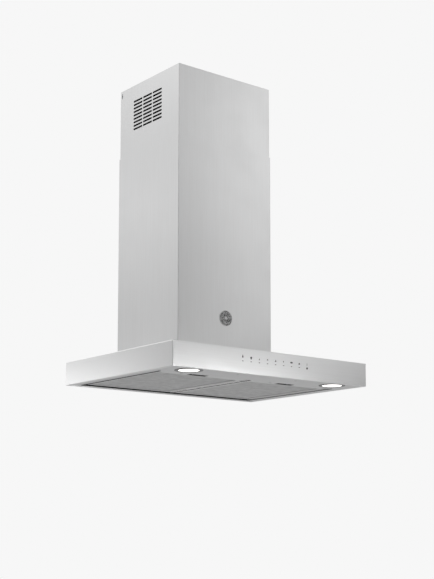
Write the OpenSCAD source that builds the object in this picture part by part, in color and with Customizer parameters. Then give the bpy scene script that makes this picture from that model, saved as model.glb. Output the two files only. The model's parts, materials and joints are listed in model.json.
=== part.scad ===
/* [Canopy] */
// Width of the canopy, side to side
canopy_w = 600; // [560:10:900]
// Depth of the canopy, front to wall
canopy_d = 450; // [420:10:540]
// Height of the canopy's sides
canopy_h = 58; // [52:1:80]
// Sheet thickness of the canopy and its underside panel
skin = 1; // [0.8:0.1:1.5]
// Width of the flange turned in along the canopy's bottom edges
bottom_lip = 9; // [6:1:9]

/* [Chimney covers] */
// Outside width of the lower cover
cover_w = 296; // [280:2:340]
// Outside depth of the lower cover, front to wall
cover_d = 262; // [250:2:320]
// Height of the lower cover's top above the canopy's bottom
lower_top = 607; // [560:5:700]
// Height of the upper cover's top above the canopy's bottom
upper_top = 790; // [740:5:900]
// Length of the upper cover
upper_len = 440; // [380:5:480]
// Sheet thickness of both covers
cover_sheet = 1; // [0.8:0.1:1.2]
// Gap between the two covers, on each side
cover_gap = 0.7; // [0.4:0.1:1.5]
// Width of the flanges turned in at the covers' rear edges
cover_return = 11; // [8:1:16]

/* [Vents] */
// Rows of vent slots on each side of the upper cover
vent_rows = 9; // [4:1:10]
// Columns of vent slots
vent_cols = 3; // [1:1:3]
// Length of one vent slot
slot_len = 39.5; // [20:0.5:42]
// Height of one vent slot
slot_h = 5; // [3:0.2:6]
// Distance between rows
slot_pitch = 9.2; // [8:0.2:12]
// Metal left between columns
slot_bar = 3.2; // [2:0.2:8]

/* [Filters] */
// Thickness of a filter frame
filter_t = 9; // [7:0.5:14]
// Height of the filters' underside above the canopy's bottom
filter_rise = 2.5; // [2:0.5:14]
// Depth of the filter opening, front to rear
filter_open_d = 338; // [300:2:350]
// Width of the side strips of the underside panel
side_strip = 33; // [28:1:60]
// Width of the rear strip of the underside panel
rear_strip = 22; // [18:1:40]
// Width of the bar between the filters
divider_w = 10; // [8:1:20]
// Gap round each filter
filter_gap = 2; // [1.5:0.1:4]
// Width of the rolled rim of a filter frame
filter_rim = 12; // [8:1:20]

/* [Lamps] */
// Outside radius of a lamp bezel
bezel_r = 33; // [28:0.5:34]
// Radius of the lit lens
lens_r = 27.5; // [24:0.5:30]
// Distance of the lamps from the centre line
lamp_x = 223; // [200:1:240]
// Distance of the lamps from the canopy's front
lamp_front = 43; // [38:1:50]

/* [Controls] */
// Number of touch symbols
icon_count = 9; // [5:1:10]
// Distance between symbols
icon_pitch = 25; // [20:1:26]
// Height of the symbols' centres above the canopy's bottom
icon_z = 38; // [34:1:44]
// Height of the small indicator bars
dash_z = 28.7; // [24:0.1:30]

/* [Blower] */
// Outer radius of the impeller
fan_r = 62; // [56:1:64]
// Width of the impeller
fan_w = 104; // [90:2:110]
// Number of blades in each half of the impeller
blade_count = 30; // [18:2:40]
// Radius of the motor shaft
shaft_r = 4; // [3:0.5:5]
// Radial clearance of the shaft in its bearings
shaft_fit = 0.05; // [0.02:0.01:0.09]
// Outside radius of the air outlet collar
collar_r = 75; // [60:0.5:76]
// Height of the air outlet collar
collar_h = 60; // [45:1:80]
// Wall of the moulded plastic parts
moulded = 2; // [1.5:0.5:3]

/* [Hidden] */
$fn = 64;
eps = 0.5; // how far a cut runs past the face it opens

// underside
panel_z = skin; // underside of the underside panel
panel_top = panel_z + skin;
side_gap = 0.1; // between the underside panel and the canopy's sides
open_rear = -rear_strip;
open_front = open_rear - filter_open_d;
open_half = canopy_w / 2 - side_strip;
flange_top = filter_rise + filter_t + 5; // top of the walls round the filter opening
ledge_d = 8; // how far the rear ledge reaches under the filters
ledge_gap = 0.2; // between the rear ledge and the filters' tongues
lip_y = open_rear - ledge_d; // the ledge's front edge, where a filter hinges
filter_rear = lip_y - 1;
filter_front = open_front + skin + filter_gap;
filter_in = divider_w / 2 + filter_gap; // inner side of a filter, from the centre line
filter_out = open_half - skin - filter_gap;
filter_mid = (filter_in + filter_out) / 2;
filter_half = (filter_out - filter_in) / 2;
frame_sheet = 1.2;
mesh_t = 0.8;
latch_w = 50;
latch_l = 11; // front to rear
latch_t = 4;
latch_nose = 1.2; // how far the nose stands past the filter's front edge
latch_play = 0.3; // clearance of the latch in its pocket
pocket_wall = 1.2;
pocket_h = 7;
pocket_w = latch_w + 2 * (pocket_wall + latch_play);
spring_room = 9.5; // length of the latch's spring at rest
spring_sheet = 0.4;
spring_w = 5;
spring_turns = 4;
pocket_l = latch_l + spring_room + 2 * pocket_wall + latch_play;
latch_x = -12; // middle of the latch, from the middle of its filter
finger_w = 9; // small finger recess beside the latch
finger_l = 7;
finger_space = 20; // metal between latch and finger recess
front_bar = pocket_l + 6; // front member of a filter frame, which holds the latch
tongue_w = 22;
tongue_t = 1.5;
tongue_in = 30; // from a filter's side to its tongue
core_pitch = 10; // distance between folds of the filter core
core_sheet = 0.5;
channel = 3; // how far the mesh runs under the front bar
tongue_lap = 2; // tongue inside the frame
tongue_gap = 3; // tongue's end short of the ledge's upright
finger_in = 8; // from the frame's front to the finger recess
finger_deep = 5;
latch_up = 0.8; // latch above the frame's underside
nose_up = 1.4; // nose above the latch's underside
nose_play = 0.5; // room under the nose
nose_w = latch_w / 4; // half the nose's width
grip_side = 3; // metal left round the fingertip grip
grip_rear = 2.5;
grip_deep = 2;
spring_rise = 2.2;
spring_wire_h = 2;
spring_at = 15; // springs from the latch's middle
spring_wire = 3 * spring_sheet;

panel_screw_side = 40; // outer rear screws from the canopy's sides
panel_screw_x = 90; // front screws from the centre line
panel_screw_front = 30;

// lamps
lamp_y = -canopy_d + lamp_front;
lamp_body_r = lens_r + 1.6;
lamp_fit = 0.3;
bezel_t = skin; // thickness of the bezel's flange below the panel
lens_z = panel_z - 0.4;
lens_t = 2;
lamp_board_t = 1.6;
lamp_rim = panel_z + 8; // top of the bezel's body
lamp_plate = 4; // solid part of the lamp housing, below its fins
lamp_depth = 20;
chip_ring = 15; // radius of the ring of LED chips
chip_w = 3;
chip_t = 0.8;
fin_pitch = 7.5;
fin_gap = 3.2;
fin_side = 3; // gaps on each side of the middle one
clip_w = 8;
clip_t = 0.6;
clip_reach = 3.5;
clip_bend = 3; // height of the clip's bend above the panel
clip_top = 7.5;

// controls
icon_deep = 0.6;
dash_w = 4.2;
dash_h = 1.6;
board_margin = 15; // board past the outer symbols
board_w = (icon_count - 1) * icon_pitch + 2 * board_margin;
board_t = 1.6;
board_back = -canopy_d + skin + board_t;
board_low = 12;
board_high = canopy_h - 6;
tray_d = 14;
tray_margin = 3; // cover past the board
sensor_w = 3; // indicator lamp on the board
sensor_t = 1.5;
plug = [20, 6, 10]; // the board's connector
plug_in = 8; // from the board's side
plug_up = 4; // from the board's lower edge
driver = [38, 20, 30]; // the lamps' supply
driver_gap = 12; // from the control board to it
driver_front = 8; // from the canopy's front to it
driver_ear = 5;
driver_ear_t = 2;
driver_ear_in = 4; // the ears are this much narrower on each side

// covers
upper_in = cover_sheet + cover_gap;
upper_w = cover_w - 2 * upper_in;
upper_d = cover_d - upper_in;
upper_bottom = upper_top - upper_len;
top_opening_w = cover_w - 26;
top_opening_front = -cover_d + 14;
top_opening_rear = -14;
vent_front = -187.5;
vent_top = upper_top - 41;
vent_rear = vent_front + vent_cols * (slot_len + slot_bar) - slot_bar;
vent_low = vent_top - (vent_rows - 1) * slot_pitch - slot_h;
diverter_rim = 6; // how far the diverter reaches past the vents
spigot_r = 62.5;
spigot_h = 30;
badge_z = 166.5;
badge_r = 20;
badge_t = 1;
badge_field = 0.6; // thickness inside the rim
badge_rim = 1.6;
fix_slot_w = 4;
fix_slot_h = 13;
fix_slot_y = -10;
fix_slot_z = upper_top - 20;
fix_head_gap = 0.1; // round the head of the upper cover's screw
bracket_z = fix_slot_z + fix_slot_h / 2; // height of the upper bracket's screws and wall bolts

// blower
fan_y = -105;
scroll_w = fan_w + 16;
scroll_start = fan_r + 8;
scroll_end = fan_r + 33;
rail_t = 2;
rail_w = 24;
rail_lap = 9; // rail past the opening's side
rail_in = 2; // its downturned web stops this far inside the opening
rail_web = 10; // how far the web hangs below the canopy's top
rail_top = canopy_h + rail_t;
fan_z = rail_top + scroll_end + 6;
throat = 83; // depth of the scroll's outlet
throat_top = fan_z + scroll_end + 12;
box_half = collar_r + 10;
collar_y = -131;
box_top = throat_top + 38;
mains_y = collar_y - 30; // front edge of the mains box
mains_l = 60;
terminal = [11, 36, 14];
terminal_in = 12; // from the mains box's corner
terminal_hole = 2;
terminal_ways = 3;
mains_deep = 24;
mains_high = 58;
mains_top = throat_top + mains_high;
gland_r = 6;
gland_bore = 3.8;
gland_nut = 2.5; // nut past the gland's body
gland_h = 12; // nut above the box
gland_tail = 4; // body inside the box
gland_x = box_half + mains_deep / 2 + 1;
collar_flange = 9.5;
collar_flange_t = 2;
collar_screw_r = collar_r + 5.5;
capacitor_r = 13.5;
capacitor_h = 34;
foot_x = scroll_w / 2 + moulded + 7;
foot_l = 26;
foot_reach = 14; // foot of a blower side, from the scroll
leg_drop = 20; // top of a leg below the fan's axis
inlet_lip = 4; // rolled lip of the inlet past the side
inlet_lip_t = 3;
rail_front_y = fan_y - 75;
rail_rear_y = fan_y + 62;
steps = 48; // straight pieces in the scroll's spiral
tongue_turn = 75; // where the scroll begins, in degrees from the rear
scroll_sweep = 255;
hub_r = 9;
hub_l = 14;
ring_w = 6;
ring_t = 2; // thickness of the impeller's disc and rings
blade_d = 6.5;
blade_t = 1;
blade_turn = 35; // lean of a blade from the radius
eye_r = fan_r - 10;
motor_r = 40;
motor_l = 50;
motor_band = 2; // stator's band past the motor's ends
motor_band_in = 6;
motor_bore = 0.6; // room round the shaft inside the motor
shaft_end = 3; // shaft past the motor
plate_r = 18; // plate of the motor bracket
arm_w = 10;
arm_t = 2;
arm_in = 10; // an arm starts this far from the axis
arm_lap = 4; // an arm reaches over the inlet's lip by this much each way
arms = [30, 150, 270];
motor_x = hub_l / 2 + 6; // inner face of the motor
bearing_r = 10;
bearing_l = 7;
collar_t = 1.6;
spindle_r = 1.5;
knuckle_r = 2.8;
knuckle_bore = spindle_r + 0.05;
damper_z = box_top + collar_h / 2;
damper_r = collar_r - collar_t - 1.5;
damper_t = 1;
knuckle_gap = 0.4; // between a knuckle and the other flap
knuckle_web = 2; // how far a knuckle's web reaches into the flap
spindle_in = 0.2; // spindle short of the collar's outside
knuckle_l = 22;
knuckle_edge = 8; // from a flap's rim to its first knuckle
knuckle_pitch = (2 * (damper_r - knuckle_edge) - knuckle_l) / 3;

// wall bracket
wall_bolt_x = 200;
wall_bolt_z = 40;
wall_bolt_r = 4;
bracket_t = 2;
bracket_w = 250;
bracket_h = 75;
bracket_side = 40; // height of the bracket's gussets
ear_rise = 4; // the upper bracket past the fixing slot, above and below
ear_d = 16; // its ear in front of the slot
ear_gap = 0.3; // between the bracket and the cover's rear edge
upper_bolt_x = 180;
upper_bolt_r = 3.5;
screw_r = 1.75;
head_r = 3.6;
head_t = 1.6;
hole_room = 0.2; // screw holes are this much wider than the screw, all round
screw_l = 8;
collar_screw_l = 7;

// a box from its lowest to its highest corner
module span(a, b) {
  translate(a) cube([b[0] - a[0], b[1] - a[1], b[2] - a[2]]);
}

// its children on the right, and mirrored on the left
module for_sides() {
  children();
  mirror([1, 0, 0]) children();
}

// a cylinder lying along X
module bar_x(x0, x1, r, y, z) {
  translate([x0, y, z]) rotate([0, 90, 0]) cylinder(h = x1 - x0, r = r);
}

// a cylinder lying along Y
module bar_y(y0, y1, r, x, z) {
  translate([x, y0, z]) rotate([-90, 0, 0]) cylinder(h = y1 - y0, r = r);
}

// a pan-head screw with its head at the origin, its shank along +Z
module screw(length, head = head_t) {
  translate([0, 0, -head]) cylinder(h = head, r = head_r, $fn = 32);
  cylinder(h = length, r = screw_r, $fn = 32);
}

// one generic touch symbol, drawn in the plane of the canopy's front
module symbol(i) {
  k = i % 9;
  if (k == 0) {
    circle(r = 2.12, $fn = 32);
    polygon([[-1.75, 1.12], [1.75, 1.12], [0, 6.25]]);
  }
  if (k == 1) {
    circle(r = 2.75, $fn = 32);
    translate([0, -2.75]) square([2.75, 2.5], center = true);
  }
  if (k == 2) translate([0, -1.25]) polygon([[-2.12, -1.75], [2.12, -1.75], [0, 2.25]]);
  if (k == 3) for (a = [45, -45]) rotate(a) square([4.75, 1.25], center = true);
  if (k == 4) translate([0, -0.75]) polygon([[-2.75, -2], [2.75, -2], [0, 3.25]]);
  if (k == 5) rotate(45) square([2.75, 2.75], center = true);
  if (k == 6) {
    square([4.25, 3.75], center = true);
    for (s = [-1, 1]) translate([s * 2.12, 0]) circle(r = 1.88, $fn = 32);
  }
  if (k == 7) translate([0, -0.75]) polygon([[-2.88, -1.62], [2.88, -1.62], [1.25, 2.12], [-1.25, 2.12]]);
  if (k == 8) {
    translate([0, -0.62]) square([1, 6.25], center = true);
    translate([0, -9.5]) circle(r = 2.75, $fn = 32);
  }
}

// the row of touch symbols, sunk into the canopy's front
module icon_row(z, depth) {
  for (i = [0 : icon_count - 1]) {
    translate([(i - (icon_count - 1) / 2) * icon_pitch, -canopy_d + depth, z]) {
      rotate([90, 0, 0]) linear_extrude(depth) symbol(i);
    }
  }
}

// small indicator bar under each symbol but the last, which has its own dot
module dash_row(depth) {
  for (i = [0 : icon_count - 2]) {
    x = (i - (icon_count - 1) / 2) * icon_pitch;
    span([x - dash_w / 2, -canopy_d, dash_z - dash_h / 2],
      [x + dash_w / 2, -canopy_d + depth, dash_z + dash_h / 2]);
  }
}

module canopy_shell() {
  half = canopy_w / 2;
  color("gainsboro") difference() {
    span([-half, -canopy_d, 0], [half, 0, canopy_h]);
    // hollow above the bottom flanges
    span([-half + skin, -canopy_d + skin, skin], [half - skin, -skin, canopy_h - skin]);
    // open bottom, inside the turned-in flanges
    span([-half + bottom_lip, -canopy_d + bottom_lip, -eps], [half - bottom_lip, -bottom_lip, skin + eps]);
    // air opening under the chimney
    span([-top_opening_w / 2, top_opening_front, canopy_h - skin - eps],
      [top_opening_w / 2, top_opening_rear, canopy_h + eps]);
    translate([0, -eps, 0]) icon_row(icon_z, icon_deep + eps);
    translate([0, -eps, 0]) dash_row(skin + 2 * eps);
  }
}

module underside_panel() {
  half = canopy_w / 2 - skin - side_gap;
  front = -canopy_d + skin + side_gap;
  color("silver") difference() {
    union() {
      span([-half, front, panel_z], [half, -skin - side_gap, panel_top]);
      span([-open_half, open_front, panel_z], [open_half, open_rear, flange_top]);
    }
    // filter opening
    span([-open_half + skin, open_front + skin, -eps],
      [open_half - skin, open_rear - skin, flange_top + eps]);
    for (s = [-1, 1]) translate([s * lamp_x, lamp_y, -eps]) {
      cylinder(h = panel_top + 2 * eps, r = lamp_body_r + lamp_fit);
    }
    for (p = panel_screw_places()) translate([p[0], p[1], -eps]) {
      cylinder(h = panel_top + 2 * eps, r = screw_r + hole_room, $fn = 32);
    }
  }
}

// screws that hold the panel, three in the rear strip and two in the front one
function panel_screw_places() = [
  for (s = [-1 : 1]) [s * (canopy_w / 2 - panel_screw_side), -(bottom_lip + rear_strip) / 2],
  for (s = [-1, 1]) [s * panel_screw_x, -canopy_d + panel_screw_front]
];

module filter_divider() {
  h = divider_w / 2;
  color("silver") difference() {
    span([-h, open_front + skin, panel_z], [h, lip_y, flange_top]);
    span([-h + skin, open_front + skin - eps, panel_top], [h - skin, lip_y + eps, flange_top - skin]);
  }
}

// angle that carries the filters' rear tongues
module filter_rear_ledge() {
  w = open_half - skin;
  top = filter_rise - ledge_gap;
  color("darkgray") union() {
    span([-w, lip_y, top - skin], [w, open_rear - skin, top]);
    span([-w, open_rear - 2 * skin, top - skin], [w, open_rear - skin, flange_top]);
  }
}

module touch_symbols() {
  color("dimgray") icon_row(icon_z, icon_deep);
}

module indicator_windows() {
  color("gray") dash_row(skin);
}

module control_board() {
  front = -canopy_d + skin;
  side = -board_w / 2 + plug_in;
  color("darkgreen") union() {
    span([-board_w / 2, front, board_low], [board_w / 2, board_back, board_high]);
    for (i = [0 : icon_count - 1]) {
      x = (i - (icon_count - 1) / 2) * icon_pitch;
      span([x - sensor_w / 2, front, dash_z - sensor_w / 2],
        [x + sensor_w / 2, board_back + sensor_t, dash_z + sensor_w / 2]);
    }
    span([side, front, board_low + plug_up],
      [side + plug[0], board_back + plug[1], board_low + plug_up + plug[2]]);
  }
}

module control_cover() {
  half = board_w / 2 + tray_margin;
  front = -canopy_d + skin;
  low = board_low - tray_margin;
  high = board_high + tray_margin;
  color("ivory") difference() {
    span([-half, front, low], [half, front + tray_d, high]);
    span([-half + moulded, front - eps, low + moulded],
      [half - moulded, front + tray_d - moulded, high - moulded]);
  }
}

module led_driver() {
  x = board_w / 2 + driver_gap;
  y = -canopy_d + driver_front;
  color("whitesmoke") union() {
    span([x, y, panel_top], [x + driver[0], y + driver[1], panel_top + driver[2]]);
    span([x - driver_ear, y + driver_ear_in, panel_top],
      [x + driver[0] + driver_ear, y + driver[1] - driver_ear_in, panel_top + driver_ear_t]);
  }
}

// the mains box hangs on the right of the outlet box
module junction_box() {
  far = box_half + mains_deep;
  color("ivory") difference() {
    span([box_half, mains_y, throat_top], [far, mains_y + mains_l, mains_top]);
    span([box_half + moulded, mains_y + moulded, throat_top + moulded],
      [far + eps, mains_y + mains_l - moulded, mains_top - moulded]);
    translate([gland_x, mains_y + mains_l / 2, mains_top - moulded - eps]) {
      cylinder(h = moulded + 2 * eps, r = gland_r);
    }
  }
}

module junction_box_lid() {
  x = box_half + mains_deep;
  color("ivory") span([x, mains_y, throat_top], [x + moulded, mains_y + mains_l, mains_top]);
}

module terminal_block() {
  x = box_half + moulded;
  y = mains_y + terminal_in;
  z = throat_top + terminal_in;
  pitch = terminal[1] / terminal_ways;
  color("black") difference() {
    span([x, y, z], [x + terminal[0], y + terminal[1], z + terminal[2]]);
    for (i = [0 : terminal_ways - 1]) translate([x + terminal[0] / 2, y + (i + 0.5) * pitch, z - eps]) {
      cylinder(h = terminal[2] + 2 * eps, r = terminal_hole, $fn = 32);
    }
  }
}

module cable_gland() {
  below = moulded + gland_tail;
  color("black") translate([gland_x, mains_y + mains_l / 2, mains_top]) difference() {
    union() {
      cylinder(h = gland_h, r = gland_r + gland_nut);
      translate([0, 0, -below]) cylinder(h = below + eps, r = gland_r);
    }
    translate([0, 0, -below - eps]) cylinder(h = below + gland_h + 2 * eps, r = gland_bore);
  }
}

module lamp_bezel(s) {
  color("dimgray") translate([s * lamp_x, lamp_y, 0]) difference() {
    union() {
      translate([0, 0, panel_z - bezel_t]) cylinder(h = bezel_t, r = bezel_r);
      translate([0, 0, panel_z - eps]) cylinder(h = lamp_rim - panel_z + eps, r = lamp_body_r);
    }
    translate([0, 0, -eps]) cylinder(h = lamp_rim + 2 * eps, r = lens_r - 1);
    translate([0, 0, lens_z]) cylinder(h = lamp_rim, r = lens_r + side_gap);
  }
}

module lamp_lens(s) {
  color("white") translate([s * lamp_x, lamp_y, lens_z]) cylinder(h = lens_t, r = lens_r);
}

module lamp_boards() {
  color("white") for (s = [-1, 1]) translate([s * lamp_x, lamp_y, lamp_rim - lamp_board_t]) union() {
    cylinder(h = lamp_board_t, r = lens_r - 1);
    for (a = [0 : 60 : 300]) rotate([0, 0, a]) translate([chip_ring - chip_w / 2, -chip_w / 2, -chip_t]) {
      cube([chip_w, chip_w, chip_t + eps]);
    }
  }
}

// finned cup that takes the lamp's heat
module lamp_housing(s) {
  color("darkgray") translate([s * lamp_x, lamp_y, lamp_rim]) difference() {
    cylinder(h = lamp_depth, r = lamp_body_r);
    for (i = [-fin_side : fin_side]) {
      translate([-lamp_body_r - eps, i * fin_pitch - fin_gap / 2, lamp_plate]) {
        cube([2 * lamp_body_r + 2 * eps, fin_gap, lamp_depth]);
      }
    }
  }
}

// two spring clips hold each lamp against the panel
module lamp_clips() {
  color("silver") for (s = [-1, 1]) for (a = [0, 180]) {
    translate([s * lamp_x, lamp_y, panel_top]) rotate([0, 0, a]) translate([lamp_body_r, -clip_w / 2, 0]) {
      span([0, 0, clip_bend], [clip_t, clip_w, clip_top]);
      span([0, 0, clip_bend], [clip_reach, clip_w, clip_bend + clip_t]);
      span([clip_reach - clip_t, 0, 0], [clip_reach, clip_w, clip_bend + clip_t]);
    }
  }
}

module rail(y) {
  half = top_opening_w / 2;
  rear = y - rail_w / 2;
  color("lightsteelblue") difference() {
    union() {
      span([-half - rail_lap, rear, canopy_h], [half + rail_lap, y + rail_w / 2, rail_top]);
      span([-half + rail_in, rear, canopy_h - rail_web], [half - rail_in, rear + rail_t, rail_top]);
    }
    for (s = [-1, 1]) translate([s * foot_x, y, canopy_h - eps]) {
      cylinder(h = rail_t + 2 * eps, r = screw_r + hole_room, $fn = 32);
    }
  }
}

module blower_rail_front() {
  rail(rail_front_y);
}

module blower_rail_rear() {
  rail(rail_rear_y);
}

// the scroll widens steadily from its tongue, over the back and bottom, to its front
function scroll_radius(t) = scroll_start + (scroll_end - scroll_start) * t;
function scroll_turn(t) = tongue_turn - scroll_sweep * t;
function scroll_point(t, grow) = (scroll_radius(t) + grow) * [cos(scroll_turn(t)), sin(scroll_turn(t))];

module scroll_outline(grow) {
  throat_y = -scroll_end;
  polygon(concat(
    [for (i = [0 : steps]) scroll_point(i / steps, grow)],
    [[throat_y - grow, throat_top - fan_z], [throat_y + throat + grow, throat_top - fan_z]]
  ));
}

module blower_scroll() {
  color("dimgray") translate([-scroll_w / 2, fan_y, fan_z]) rotate([90, 0, 90]) difference() {
    linear_extrude(scroll_w) scroll_outline(moulded);
    translate([0, 0, -eps]) linear_extrude(scroll_w + 2 * eps) union() {
      scroll_outline(0);
      translate([-scroll_end, 0]) square([throat, throat_top - fan_z + eps]);
    }
  }
}

module blower_side(s) {
  x = s > 0 ? scroll_w / 2 : -scroll_w / 2 - moulded;
  lip = s > 0 ? x : x - inlet_lip;
  foot = s > 0 ? x : x + moulded - foot_reach;
  color("gray") difference() {
    union() {
      translate([x, fan_y, fan_z]) rotate([90, 0, 90]) linear_extrude(moulded) scroll_outline(moulded);
      // rolled lip of the inlet
      bar_x(lip, lip + moulded + inlet_lip, eye_r + inlet_lip_t, fan_y, fan_z);
      for (y = [rail_front_y, rail_rear_y]) {
        span([x, y - foot_l / 2, rail_top], [x + moulded, y + foot_l / 2, fan_z - leg_drop]);
        span([foot, y - foot_l / 2, rail_top], [foot + foot_reach, y + foot_l / 2, rail_top + moulded]);
      }
    }
    bar_x(x - 2 * inlet_lip, x + moulded + 2 * inlet_lip, eye_r, fan_y, fan_z);
    for (y = [rail_front_y, rail_rear_y]) translate([s * foot_x, y, rail_top - eps]) {
      cylinder(h = moulded + 2 * eps, r = screw_r + hole_room, $fn = 32);
    }
  }
}

module on_fan_axis() {
  translate([0, fan_y, fan_z]) rotate([0, 90, 0]) children();
}

// disc in the middle of the impeller, with the hub on the shaft
module impeller_disc() {
  color("lightgray") on_fan_axis() difference() {
    union() {
      cylinder(h = ring_t, r = fan_r, center = true);
      cylinder(h = hub_l, r = hub_r, center = true);
    }
    cylinder(h = hub_l + 2 * eps, r = shaft_r, center = true);
  }
}

// ring at each end that ties the blades together
module impeller_rings() {
  color("lightgray") on_fan_axis() for (s = [-1, 1]) {
    translate([0, 0, s * (fan_w - ring_t) / 2]) difference() {
      cylinder(h = ring_t, r = fan_r, center = true);
      cylinder(h = ring_t + 2 * eps, r = fan_r - ring_w, center = true);
    }
  }
}

// blades from the disc to each ring
module impeller_blades() {
  blade_l = (fan_w - 3 * ring_t) / 2;
  color("lightgray") on_fan_axis() for (s = [-1, 1]) for (i = [0 : blade_count - 1]) {
    rotate([0, 0, i * 360 / blade_count]) translate([fan_r - ring_w / 2, 0, s * (ring_t + blade_l) / 2]) {
      rotate([0, 0, blade_turn]) cube([blade_d, blade_t, blade_l], center = true);
    }
  }
}

module motor_shaft() {
  color("silver") bar_x(-hub_l / 2, motor_x + motor_l + shaft_end, shaft_r, fan_y, fan_z);
}

module motor() {
  end = motor_x + motor_l;
  color("dimgray") difference() {
    union() {
      bar_x(motor_x, end, motor_r, fan_y, fan_z);
      bar_x(motor_x + motor_band_in, end - motor_band_in, motor_r + motor_band, fan_y, fan_z);
    }
    bar_x(motor_x - eps, end + eps, shaft_r + motor_bore, fan_y, fan_z);
    bar_x(motor_x - eps, motor_x + bearing_l, bearing_r, fan_y, fan_z);
    bar_x(end - bearing_l, end + eps, bearing_r, fan_y, fan_z);
  }
}

module motor_bearings() {
  color("gold") for (x = [motor_x, motor_x + motor_l - bearing_l]) difference() {
    bar_x(x, x + bearing_l, bearing_r, fan_y, fan_z);
    bar_x(x - eps, x + bearing_l + eps, shaft_r + shaft_fit, fan_y, fan_z);
  }
}

// three arms from the inlet's lip to the motor's outer end
module motor_bracket() {
  x = motor_x + motor_l;
  lip_x = scroll_w / 2 + moulded + inlet_lip;
  color("silver") on_fan_axis() difference() {
    union() {
      translate([0, 0, x]) cylinder(h = arm_t, r = plate_r);
      for (a = arms) rotate([0, 0, a]) union() {
        span([arm_in, -arm_w / 2, x], [eye_r - arm_t, arm_w / 2, x + arm_t]);
        span([eye_r - arm_lap, -arm_w / 2, x], [eye_r - arm_lap + arm_t, arm_w / 2, lip_x + arm_t]);
        span([eye_r - arm_lap, -arm_w / 2, lip_x], [eye_r + arm_lap, arm_w / 2, lip_x + arm_t]);
      }
    }
    translate([0, 0, x - eps]) cylinder(h = arm_t + 2 * eps, r = shaft_r + 1);
  }
}

module run_capacitor() {
  color("silver") translate([-box_half - capacitor_r, collar_y, throat_top]) {
    cylinder(h = capacitor_h, r = capacitor_r);
  }
}

// plenum between the scroll's square throat and the round collar
module outlet_box() {
  front = fan_y - scroll_end;
  under_top = box_top - moulded - eps;
  color("lightgray") difference() {
    span([-box_half, collar_y - box_half, throat_top], [box_half, collar_y + box_half, box_top]);
    span([-box_half + moulded, collar_y - box_half + moulded, throat_top + moulded],
      [box_half - moulded, collar_y + box_half - moulded, box_top - moulded]);
    span([-scroll_w / 2, front, throat_top - eps],
      [scroll_w / 2, front + throat, throat_top + moulded + eps]);
    translate([0, collar_y, under_top]) cylinder(h = moulded + 2 * eps, r = collar_r - collar_t, $fn = 96);
    for (a = [45 : 90 : 315]) translate([0, collar_y, under_top]) rotate([0, 0, a]) {
      translate([collar_screw_r, 0, 0]) cylinder(h = moulded + 2 * eps, r = screw_r + hole_room, $fn = 32);
    }
  }
}

module outlet_collar() {
  color("dimgray") translate([0, collar_y, box_top]) difference() {
    union() {
      cylinder(h = collar_h, r = collar_r, $fn = 96);
      cylinder(h = collar_flange_t, r = collar_r + collar_flange, $fn = 96);
    }
    translate([0, 0, -eps]) cylinder(h = collar_h + 2 * eps, r = collar_r - collar_t, $fn = 96);
    for (a = [45 : 90 : 315]) rotate([0, 0, a]) translate([collar_screw_r, 0, -eps]) {
      cylinder(h = collar_flange_t + 2 * eps, r = screw_r + hole_room, $fn = 32);
    }
    translate([0, 0, collar_h / 2]) rotate([90, 0, 0]) {
      cylinder(h = 2 * collar_r + 2 * eps, r = spindle_r, center = true);
    }
  }
}

module damper_spindle() {
  reach = collar_r - spindle_in;
  color("silver") bar_y(collar_y - reach, collar_y + reach, spindle_r, 0, damper_z);
}

// half disc with knuckles on the spindle; s is -1 for left, +1 for right
module damper(s) {
  first = -damper_r + knuckle_edge + (s < 0 ? 0 : knuckle_pitch);
  inner = knuckle_r + knuckle_gap;
  web = knuckle_r + knuckle_web;
  color("gray") translate([0, collar_y, damper_z]) difference() {
    union() {
      intersection() {
        translate([0, 0, -damper_t / 2]) cylinder(h = damper_t, r = damper_r, $fn = 96);
        span([s > 0 ? inner : -damper_r, -damper_r, -damper_t],
          [s > 0 ? damper_r : -inner, damper_r, damper_t]);
      }
      for (y = [first, first + 2 * knuckle_pitch]) {
        bar_y(y, y + knuckle_l, knuckle_r, 0, 0);
        span([s > 0 ? spindle_r + knuckle_gap : -web, y, -damper_t / 2],
          [s > 0 ? web : -spindle_r - knuckle_gap, y + knuckle_l, damper_t / 2]);
      }
    }
    bar_y(-damper_r, damper_r, knuckle_bore, 0, 0);
  }
}

// a cover of front, two sides and turned-in rear edges
module cover_sleeve(w, d, z0, z1, rear) {
  difference() {
    span([-w / 2, -d, z0], [w / 2, rear, z1]);
    span([-w / 2 + cover_sheet, -d + cover_sheet, z0 - eps],
      [w / 2 - cover_sheet, rear - cover_sheet, z1 + eps]);
    span([-w / 2 + cover_return, -d + cover_sheet, z0 - eps],
      [w / 2 - cover_return, rear + eps, z1 + eps]);
  }
}

module lower_cover() {
  color("gainsboro") cover_sleeve(cover_w, cover_d, canopy_h, lower_top, 0);
}

// plain round badge on the front of the lower cover
module round_badge() {
  color("gray") translate([0, -cover_d, badge_z]) rotate([90, 0, 0]) union() {
    cylinder(h = badge_field, r = badge_r);
    difference() {
      cylinder(h = badge_t, r = badge_r);
      translate([0, 0, -eps]) cylinder(h = badge_t + 2 * eps, r = badge_r - badge_rim);
    }
  }
}

// a round-ended vent slot through both sides of the upper cover
module vent_slot(y, z) {
  half = upper_w / 2 + eps;
  r = slot_h / 2;
  span([-half, y + r, z], [half, y + slot_len - r, z + slot_h]);
  for (end = [y + r, y + slot_len - r]) bar_x(-half, half, r, end, z + r);
}

module upper_cover() {
  half = upper_w / 2 + eps;
  slot = [fix_slot_w / 2, fix_slot_h];
  color("gainsboro") difference() {
    cover_sleeve(upper_w, upper_d, upper_bottom, upper_top, -upper_in);
    for (c = [0 : vent_cols - 1]) for (r = [0 : vent_rows - 1]) {
      vent_slot(vent_front + c * (slot_len + slot_bar), vent_top - slot_h - r * slot_pitch);
    }
    span([-half, fix_slot_y - slot[0], fix_slot_z], [half, fix_slot_y + slot[0], fix_slot_z + slot[1]]);
  }
}

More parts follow.
